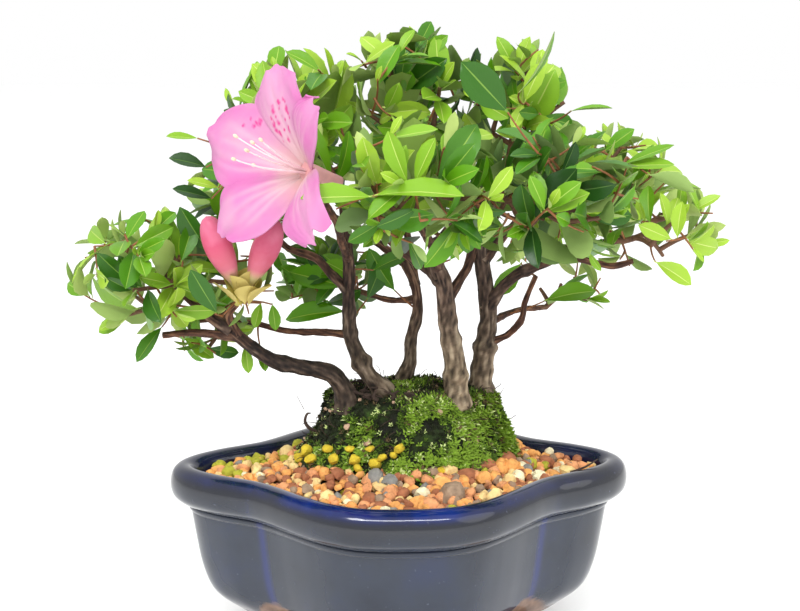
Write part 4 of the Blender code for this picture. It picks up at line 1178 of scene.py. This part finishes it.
def build_foliage(limbs, keep_out):
    """Every mass: the source's shoots and leaves, then finer twigs and leaves within the same room."""
    leaves = {tone: Heap() for tone in LEAF_TONES}
    old_twigs, young_twigs = Heap(), Heap()
    grown = {name: grow(name, limbs, keep_out) for name in MASSES}
    clear_the_view(grown.values())
    standing = [leaf for _, shoots, _, _, _ in grown.values() for _, mine in shoots for leaf in mine]
    for number, (name, growth) in enumerate(grown.items()):
        chance = random.Random(SEEDS["masses"] + number)
        add_old_twigs(old_twigs, growth[0], chance)
        sprays, wide_room = fine_sprays(Vector(MASSES[name][1]), growth, standing, young_twigs, chance)
        add_leaves(leaves, sprays, wide_room, growth[-1], standing, chance)
    joints = [node for _, _, nodes, _, _ in grown.values() for node in nodes]
    joints += [point for way, _ in limbs.values() for point in way[2:]]
    add_shown_leaves(leaves, young_twigs, joints)
    for tone, heap in leaves.items():
        gloss = 0.12 if tone in GLOSSY_TONES else 0.0
        looks = leaf_materials(tone, LEAF_TONES[tone], (0.38, 0.5, 0.6), (gloss, 0.05, 0.0))
        heap.piece(f"leaves_{tone}", looks, sharp_above=80.0, material_slot="foliage",
                   replaces=list(MASSES) if tone == "lime" else ())
    old_twigs.piece("twigs_old", [mottled("twig_bark", srgb(104, 72, 52), 0.8, spread=0.3, grain=500.0,
                                          bump_depth=0.0004)], sharp_above=70.0, material_slot="bark")
    young_twigs.piece("twigs_young", [mottled("twig_young", srgb(134, 84, 46), 0.65, spread=0.25,
                                              grain=500.0)], sharp_above=70.0, material_slot="bark")


def clear_the_view(grown):
    """Leaves that would hide the flower, the buds or the sky between the masses are left out."""
    rods = sight_rods()
    for _, shoots, _, _, bones in grown:
        for _, mine in shoots:
            mine[:] = [leaf for leaf in mine if clear_of(rods, leaf_outline(leaf), 0.0)]
        bones.extend(rods)


def add_old_twigs(heap, twigs, chance):
    """The source's twigs; the first starts inside the limb that carries it."""
    for place, (start, end) in enumerate(twigs):
        back = (start - end).normalized() * (1.4 if place == 0 else 0.0)
        twig_tube(heap, start + back, end, *((1.0, 0.95) if place < 2 else (0.9, 0.6)), chance)


def fine_sprays(middle, growth, standing, twig_heap, chance):
    """The source's shoots with their leaves and finer ones between them, and the room they may fill."""
    _, shoots, nodes, (centre, size, walls), bones = growth
    sprays = list(shoots)
    taken = [tip for (_, tip, _), _ in shoots]
    wide_room = (centre, size + FINE_SWELL, [(normal, wall + FINE_OVERLAP) for normal, wall in walls])
    for target in spread_targets(wide_room, round(len(shoots) * FINE_PER_SHOOT), chance, FINE_PLACES, taken):
        root = min(nodes, key=lambda node: (node - target).length)
        path = between(root, target, 5)
        if not clear_of(bones, path[1:], 0.9) or (target - root).length < 2.5:
            continue
        shoot = (root, target, (target - middle).normalized())
        mine = leaves_of_shoot(shoot, FINE_LEAVES, wide_room, bones, standing, chance)
        if mine:
            standing += mine
            nodes += path[2:] + [target]
            twig_tube(twig_heap, root, target, *FINE_TWIG, chance, sides=6)
            sprays.append((shoot, mine))
    return sprays, wide_room


def add_leaves(leaves, sprays, room, bones, standing, chance):
    """Each spray's leaves in tones near its own, and a few young leaves at its tip in pale tones."""
    for shoot, mine in sprays:
        tone = tone_of(shoot[1], chance)
        young = leaves_of_shoot(shoot, YOUNG_LEAVES, room, bones, standing, chance)
        standing += young
        for leaf in mine:
            shade = max(0, min(DARKEST, tone + chance.choice((-1, -1, 0, 0, 0, 1, 1))))
            leaves[TONE_NAMES[shade]].add(leaf_points(leaf, chance), LEAF_FACES, LEAF_SLOTS)
        pale = leaves[TONE_NAMES[max(0, min(2, tone - 3))]]
        for leaf in young:
            pale.add(leaf_points(leaf, chance, YOUNG_WIDTH), LEAF_FACES, LEAF_SLOTS)


def add_shown_leaves(leaves, twig_heap, joints):
    """The single leaves, each on a twig from the nearest joint."""
    chance = random.Random(SEEDS["shown_leaves"])
    for root, tip, upper, wide, tone in SHOWN_LEAVES:
        root, tip = Vector(root), Vector(tip)
        heading = (tip - root).normalized()
        upper = (Vector(upper) - heading * heading.dot(Vector(upper))).normalized()
        leaf = (root, heading, upper, (tip - root).length)
        leaves[tone].add(leaf_points(leaf, chance, wide), LEAF_FACES, LEAF_SLOTS)
        joint = min(joints, key=lambda node: (node - root + heading * 4).length)
        if (joint - root).length > 1.0:
            twig_tube(twig_heap, joint, root + heading * 0.5, *SHOWN_TWIG, chance, sides=6)


# --- Open flower and buds -------------------------------------------------------

def petal_point(along, across, petal, shape=None):
    """A place on one petal: it rises out of the tube and rolls back at the tip."""
    turn, lift, wide, long = shape or (*PETALS[petal], 1.0, 1.0)
    side = BLOOM_FACING.cross(UP).normalized()
    top = side.cross(BLOOM_FACING)
    outward = side * math.sin(turn) + top * math.cos(turn)
    sideways = side * math.cos(turn) - top * math.sin(turn)
    half_width = PETAL_WIDTH / 2 * wide * math.sin(math.pi * (0.06 + 0.86 * along)) ** 0.75
    rise = 13.0 * math.sin(1.9 * along) + lift * (0.3 + along) - 2.5 * across ** 2 * along
    return (BLOOM_THROAT + outward * (2.0 + (PETAL_LENGTH * long - 4.0) * along)
            + sideways * across * half_width + BLOOM_FACING * rise)


def bloom_bones():
    """Rods through the open flower and the buds, which leaves and twigs stay clear of."""
    base = BLOOM_THROAT - BLOOM_FACING * BLOOM_TUBE
    bones = [(base, BLOOM_THROAT, 4.0)]
    for petal in range(len(PETALS)):
        bones += [(petal_point(0.1, 0, petal), petal_point(0.55, 0, petal), 6.0),
                  (petal_point(0.55, 0, petal), petal_point(0.95, 0, petal), 7.5)]
    bones += [(BUD_BASE, tip, BUD_HALF_WIDTH) for tip in BUD_TIPS]
    return bones


def sight_rods():
    """Rods from the flower and the buds towards the camera: leaves that would hide them are left out."""
    shown = [(petal_point(share, 0, petal), 7.0) for petal in range(len(PETALS)) for share in (0.35, 0.8)]
    shown += [(BUD_BASE.lerp(tip, share), 3.6) for tip in BUD_TIPS for share in (0.2, 0.5, 0.8)]
    shown += [(BUD_BASE - UP * 3.0, 5.0)]
    shown += [(Vector(root).lerp(Vector(tip), share), 3.5) for root, tip, *_ in SHOWN_LEAVES[:3]
              for share in (0.35, 0.75)]
    rods = []
    for place, radius in shown:
        ahead = (CAMERA_PLACE - place).normalized()
        rods.append((place + ahead * 3.0, place + ahead * 40.0, radius))
    for place, radius in SKY_PLACES:
        ahead = (CAMERA_PLACE - Vector(place)).normalized()
        rods.append((Vector(place) - ahead * 75.0, Vector(place) + ahead * 75.0, radius))
    return rods


PETAL_ROWS = 46
PETAL_COLUMNS = 44
PETAL_HALF_THICKNESS = 0.22
STAMEN_COUNT = 6
BUD_SCALE_COUNT = 12
BUD_BROADEST = 0.60        # where a bud is broadest, as a share of its length
PETALS_SHOWN = (           # turn, lift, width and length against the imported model's petals
    (math.radians(22.0), -0.9, 0.86, 1.0),
    (math.radians(80.0), 0.9, 1.08, 1.10),
    (math.radians(144.0), -0.5, 1.02, 0.98),
    (math.radians(234.0), 0.2, 0.72, 1.15),
    (math.radians(322.0), 0.4, 0.72, 0.80),
)
SKY_PLACES = (             # sky that shows between the masses: place, radius
    ((57.9, 0, 178.8), 5.5), ((48.2, 0, 119.5), 5.0), ((86.2, 0, 126.9), 4.0), ((75.6, 0, 131.8), 3.0),
    ((60.0, 0, 186.0), 6.0),
)
# place across, and where it starts and ends along the petal
FRECKLE_ROWS = ((-0.36, 0.40, 0.60), (-0.14, 0.28, 0.62), (0.08, 0.22, 0.60), (0.30, 0.24, 0.50))


def vein_share(along, across):
    """1 on the pale lines that fan out of the throat, 0 between them."""
    share = 0.0
    for start, width in ((0.0, 0.09), (0.45, 0.10), (-0.50, 0.08), (0.80, 0.07)):
        line = start * (0.25 + 0.75 * along) + 0.03 * math.sin(9 * along + 5 * start)
        share = max(share, math.exp(-((across - line) / width) ** 2) * max(0.0, 1.0 - 1.25 * along))
    return share


def freckles_of(petal):
    """Blotches in rows along the upper petals, as (place along, place across, size)."""
    chance = random.Random(SEEDS["freckles"] + petal)
    if petal == 0:
        return [(low + (high - low) * (i + chance.uniform(0, 0.8)) / 7, across + chance.uniform(-0.05, 0.05),
                 chance.uniform(0.5, 1.3)) for across, low, high in FRECKLE_ROWS for i in range(7)]
    if petal == 1:
        spans = ((0.35, 0.6), (-0.8, -0.3), (0.5, 1.1))
        return [tuple(chance.uniform(*span) for span in spans) for _ in range(7)]
    return []


def build_petals():
    petals = Heap()
    for petal in range(len(PETALS)):
        top, marks = [], {"along": [], "across": [], "vein": [], "freckle": []}
        freckles = freckles_of(petal)
        for row in range(PETAL_ROWS):
            for column in range(PETAL_COLUMNS):
                across = 2 * column / (PETAL_COLUMNS - 1) - 1
                along = row / (PETAL_ROWS - 1)
                notched = 0.035 * math.sin(4.2 * across + 2.3 * petal) + 0.016 * math.sin(11 * across + petal)
                rounded = along * (1 - (0.10 * across * across + notched) * along)
                place = petal_point(rounded, across, petal, PETALS_SHOWN[petal])
                wave = (1.6 * along ** 2 * abs(across) ** 1.6
                        * math.sin(7.0 * along + 2.4 * petal + 2.5 * across)
                        + 0.8 * along ** 2 * math.sin(5.0 * across + 1.9 * petal)
                        - 0.7 * math.exp(-(across / 0.08) ** 2) * (1 - along)
                        + 0.3 * noise.noise(Vector((4 * along, 5 * across, petal))))
                top.append(place + BLOOM_FACING * wave)
                marks["along"].append(along)
                marks["across"].append(across)
                marks["vein"].append(vein_share(along, across))
                marks["freckle"].append(min(1.0, sum(math.exp(-((along - a) / (0.018 * size)) ** 2
                                                              - ((across - c) / (0.045 * size)) ** 2)
                                                     for a, c, size in freckles)))
        closed_sheet(petals, top, PETAL_ROWS, PETAL_COLUMNS, PETAL_HALF_THICKNESS, marks)
    petals.piece("flower_petals", [petal_material()], sharp_above=85.0, material_slot="foliage")


def closed_sheet(heap, top, rows, columns, half_thickness, marks):
    """A thin skin on both sides of a grid of points, closed round its rim."""
    grid = np.array([tuple(point) for point in top]).reshape(rows, columns, 3)
    down, over = np.gradient(grid, axis=0), np.gradient(grid, axis=1)
    normal = np.cross(over, down)
    normal /= np.linalg.norm(normal, axis=2, keepdims=True) + 1e-9
    upper = (grid + normal * half_thickness).reshape(-1, 3)
    lower = (grid - normal * half_thickness).reshape(-1, 3)
    count = rows * columns
    faces = grid_faces(rows, columns)
    faces += [tuple(count + i for i in reversed(face)) for face in grid_faces(rows, columns)]
    rim = [*range(columns), *range(2 * columns - 1, count, columns),
           *range(count - 2, count - columns - 1, -1), *range(count - 2 * columns, 0, -columns)]
    faces += [(a, a + count, b + count, b) for a, b in zip(rim, rim[1:] + rim[:1])]
    points = [tuple(point) for point in np.vstack((upper, lower))]
    heap.add(points, faces, **{name: values * 2 for name, values in marks.items()})


def petal_material():
    paint = Paint("petal_pink", srgb(222, 150, 200), 0.6, 0.25)
    sideways = paint.node("ShaderNodeMath", "Value", {0: paint.mark("across")}, operation="ABSOLUTE")
    edge = paint.ramp(sideways, (0.0, srgb(200, 156, 178)), (0.40, srgb(190, 134, 168)),
                      (0.85, srgb(186, 110, 160)), (1.0, srgb(190, 128, 168)))
    throat = paint.ramp(paint.mark("along"), (0.0, srgb(206, 182, 140)), (0.12, srgb(206, 168, 158)),
                        (0.30, srgb(190, 134, 164)), (1.0, srgb(187, 118, 162)))
    tone = paint.mix(0.55, edge, throat)
    tone = paint.mix(paint.ramp(paint.noise(75.0, 3.0), (0.42, 0), (0.64, 0.55)), tone, srgb(198, 92, 164))
    tone = paint.mix(paint.ramp(paint.mark("vein"), (0.0, 0), (1.0, 0.65)), tone, srgb(214, 188, 190))
    tone = paint.mix(paint.ramp(paint.mark("freckle"), (0.10, 0), (0.70, 0.9)), tone, srgb(196, 44, 124))
    paint.surface("Base Color", tone)
    paint.bump(paint.noise(700.0, 4.0), 0.4, 0.0002)
    return paint.material


def build_flower_middle():
    """The tube behind the petals, and the stamens and style in front."""
    base = BLOOM_THROAT - BLOOM_FACING * BLOOM_TUBE
    tube_heap = Heap()
    way = [base, base.lerp(BLOOM_THROAT, 0.35), base.lerp(BLOOM_THROAT, 0.7),
           BLOOM_THROAT + BLOOM_FACING * 0.2]
    add_tube(tube_heap, way, [1.5, 1.9, 2.4, 2.7], 22, 4)
    tube_heap.piece("flower_tube", [mottled("tube_pink", srgb(206, 150, 150), 0.6, spread=0.1, grain=300.0)],
                    material_slot="foliage")
    chance = random.Random(SEEDS["stamens"])
    threads, anthers = Heap(), Heap()
    for number in range(STAMEN_COUNT):
        side = any_side(BLOOM_FACING, math.tau * number / STAMEN_COUNT + chance.uniform(-0.3, 0.3))
        spread = 0.24 * chance.uniform(0.4, 1.3)
        reach = 27.0 if number == 0 else chance.uniform(16.0, 22.0)
        way = [BLOOM_THROAT - BLOOM_FACING * 3]
        for t in (0.3, 0.6, 0.85, 1.0):
            way.append(BLOOM_THROAT + BLOOM_FACING * reach * t + side * reach * spread * t
                       + UP * reach * 0.16 * (t ** 2 - 0.7 * t))
        add_tube(threads, way, [0.34, 0.30, 0.26, 0.22, 0.18], 7, 4)
        axis = (way[-1] - way[-2]).normalized()
        anther = [way[-1] + axis * reach for reach in (-0.3, 0.3, 0.9, 1.3)]
        add_tube(anthers, anther, [0.25, 0.48, 0.45, 0.2], 8, 3)
    threads.piece("flower_stamens", [mottled("stamen_pale", srgb(240, 216, 216), 0.5, spread=0.06)],
                  material_slot="foliage")
    anthers.piece("flower_anthers", [mottled("anther_cream", srgb(220, 204, 176), 0.7, spread=0.1)],
                  material_slot="foliage")


def build_buds():
    buds = Heap()
    for number, tip in enumerate(BUD_TIPS):
        add_bud(buds, BUD_BASE + Vector((2.0 * (2 * number - 1), 0.0, 0.0)), tip, 4.2, number)
    buds.piece("flower_buds", [bud_material()], sharp_above=60.0, material_slot="foliage")
    scales = Heap()
    chance = random.Random(SEEDS["bud_scales"])
    for number in range(BUD_SCALE_COUNT):
        turn = GOLDEN_TURN * number
        side = any_side(UP, turn)
        spread = math.radians(10 + 3.6 * number)
        heading = UP * math.cos(spread) + side * math.sin(spread)
        upper = (UP - heading * UP.dot(heading)).normalized()
        leaf = (BUD_BASE - UP * (3.0 + 0.3 * number) + side * 1.4, heading, upper, chance.uniform(8.0, 11.5))
        scales.add(leaf_points(leaf, chance, 0.85), LEAF_FACES, LEAF_SLOTS)
    stalk = [Vector((-50.8, -16.0, 116.6)), Vector((-50.0, -20.0, 119.0)), BUD_BASE]
    add_tube(scales, stalk, [1.0, 1.5, 3.0], 12, 4)
    colours = (srgb(200, 188, 96), srgb(204, 176, 124), srgb(200, 182, 106))
    scales.piece("bud_scales", leaf_materials("scale", colours, (0.6, 0.6, 0.6), (0.05, 0.0, 0.0)),
                 sharp_above=80.0, material_slot="foliage")


def add_bud(heap, foot, tip, half_width, seed):
    """A spindle of rolled petals."""
    rows, columns = 30, 26
    axis = (tip - foot).normalized()
    length = (tip - foot).length
    points, along = [], []
    for row in range(rows):
        t = row / (rows - 1)
        if t < BUD_BROADEST:
            swell = 0.24 + 0.76 * math.sin(math.pi / 2 * t / BUD_BROADEST) ** 1.2
        else:
            swell = math.sqrt(max(0.0, 1 - ((t - BUD_BROADEST) / (1 - BUD_BROADEST)) ** 2))
        radius = half_width * swell
        for column in range(columns):
            angle = math.tau * column / columns
            roll = 1 + 0.12 * abs(math.sin(1.5 * (angle + 1.2 * t + seed))) - 0.07
            side = any_side(axis, angle)
            points.append(foot + axis * length * t + side * max(0.12, radius * roll))
            along.append(t)
    heap.add(points, ring_faces(rows, columns), along=along)


def bud_material():
    paint = Paint("bud_coral", srgb(226, 96, 116))
    tone = paint.ramp(paint.mark("along"), (0.0, srgb(196, 204, 126)), (0.16, srgb(206, 190, 140)),
                      (0.30, srgb(200, 100, 116)), (0.65, srgb(194, 70, 104)), (1.0, srgb(198, 88, 122)))
    streak = paint.ramp(paint.noise(160.0, 3.0), (0.42, 0), (0.68, 0.5))
    paint.surface("Base Color", paint.mix(streak, tone, srgb(204, 112, 140)))
    paint.bump(paint.noise(600.0), 0.3, 0.0002)
    return paint.material


# --- Floor, lights and camera ----------------------------------------------------

CAMERA_PLACE = Vector((-20.16, -435.53, 202.4))
CAMERA_YAW = math.radians(2.65)
CAMERA_PITCH = math.radians(11.7)
CAMERA_LENS = 62.5
SENSOR_WIDTH = 36.0
FLOOR_REACH = 4
FLOOR_GREY = 0.995
LAMPS = (                  # name, place, target, size, power, height of a strip
    ("key", (-0.55, -0.75, 0.95), (0, 0, 0.11), 0.35, 4.8, None),
    ("strip", (0.0, -0.80, 0.84), (0, 0, 0.08), 0.9, 6.0, 0.1),
    ("fill", (0.85, -0.6, 0.55), (0, 0, 0.10), 0.8, 2.0, None),
    ("top", (0.0, 0.25, 1.15), (0, 0, 0.10), 0.9, 2.0, None),
)


def add_area(name, place, target, size, power, height):
    data = bpy.data.lights.new(name, "AREA")
    data.shape = "RECTANGLE" if height else "DISK"
    data.size = size
    if height:
        data.size_y = height
    data.energy = power
    lamp = bpy.data.objects.new(name, data)
    lamp.location = place
    lamp.rotation_euler = (Vector(target) - Vector(place)).to_track_quat("-Z", "Y").to_euler()
    bpy.context.scene.collection.objects.link(lamp)


def build_stage():
    mesh = bpy.data.meshes.new("floor")
    corners = [(x * FLOOR_REACH, y * FLOOR_REACH, 0) for x, y in ((-1, -1), (1, -1), (1, 1), (-1, 1))]
    mesh.from_pydata(corners, [], [(0, 1, 2, 3)])
    floor = bpy.data.objects.new("floor", mesh)
    bpy.context.scene.collection.objects.link(floor)
    paint = Paint("pale_floor", roughness=0.9, specular=0.1)
    paint.surface("Base Color", (FLOOR_GREY, FLOOR_GREY, FLOOR_GREY, 1))
    mesh.materials.append(paint.material)
    world = bpy.data.worlds.new("white_studio")
    world.use_nodes = True
    world.node_tree.nodes["Background"].inputs["Color"].default_value = (1.0, 1.0, 1.0, 1)
    world.node_tree.nodes["Background"].inputs["Strength"].default_value = 1.0
    bpy.context.scene.world = world
    for lamp in LAMPS:
        add_area(*lamp)
    bpy.context.scene.view_settings.view_transform = "Standard"


def build_camera():
    data = bpy.data.cameras.new("camera")
    data.sensor_fit = "HORIZONTAL"
    data.sensor_width = SENSOR_WIDTH
    data.lens = CAMERA_LENS
    data.clip_start = 0.01
    camera = bpy.data.objects.new("camera", data)
    camera.location = CAMERA_PLACE * MM + SHIFT
    camera.rotation_euler = (math.pi / 2 - CAMERA_PITCH, 0.0, -CAMERA_YAW)
    bpy.context.scene.collection.objects.link(camera)
    bpy.context.scene.camera = camera


def main():
    build_pot()
    build_feet()
    build_soil_bed()
    build_gravel()
    build_mound()
    limbs = build_limbs()
    keep_out = bloom_bones()
    build_foliage(limbs, keep_out)
    build_petals()
    build_flower_middle()
    build_buds()
    build_stage()
    build_camera()


main()
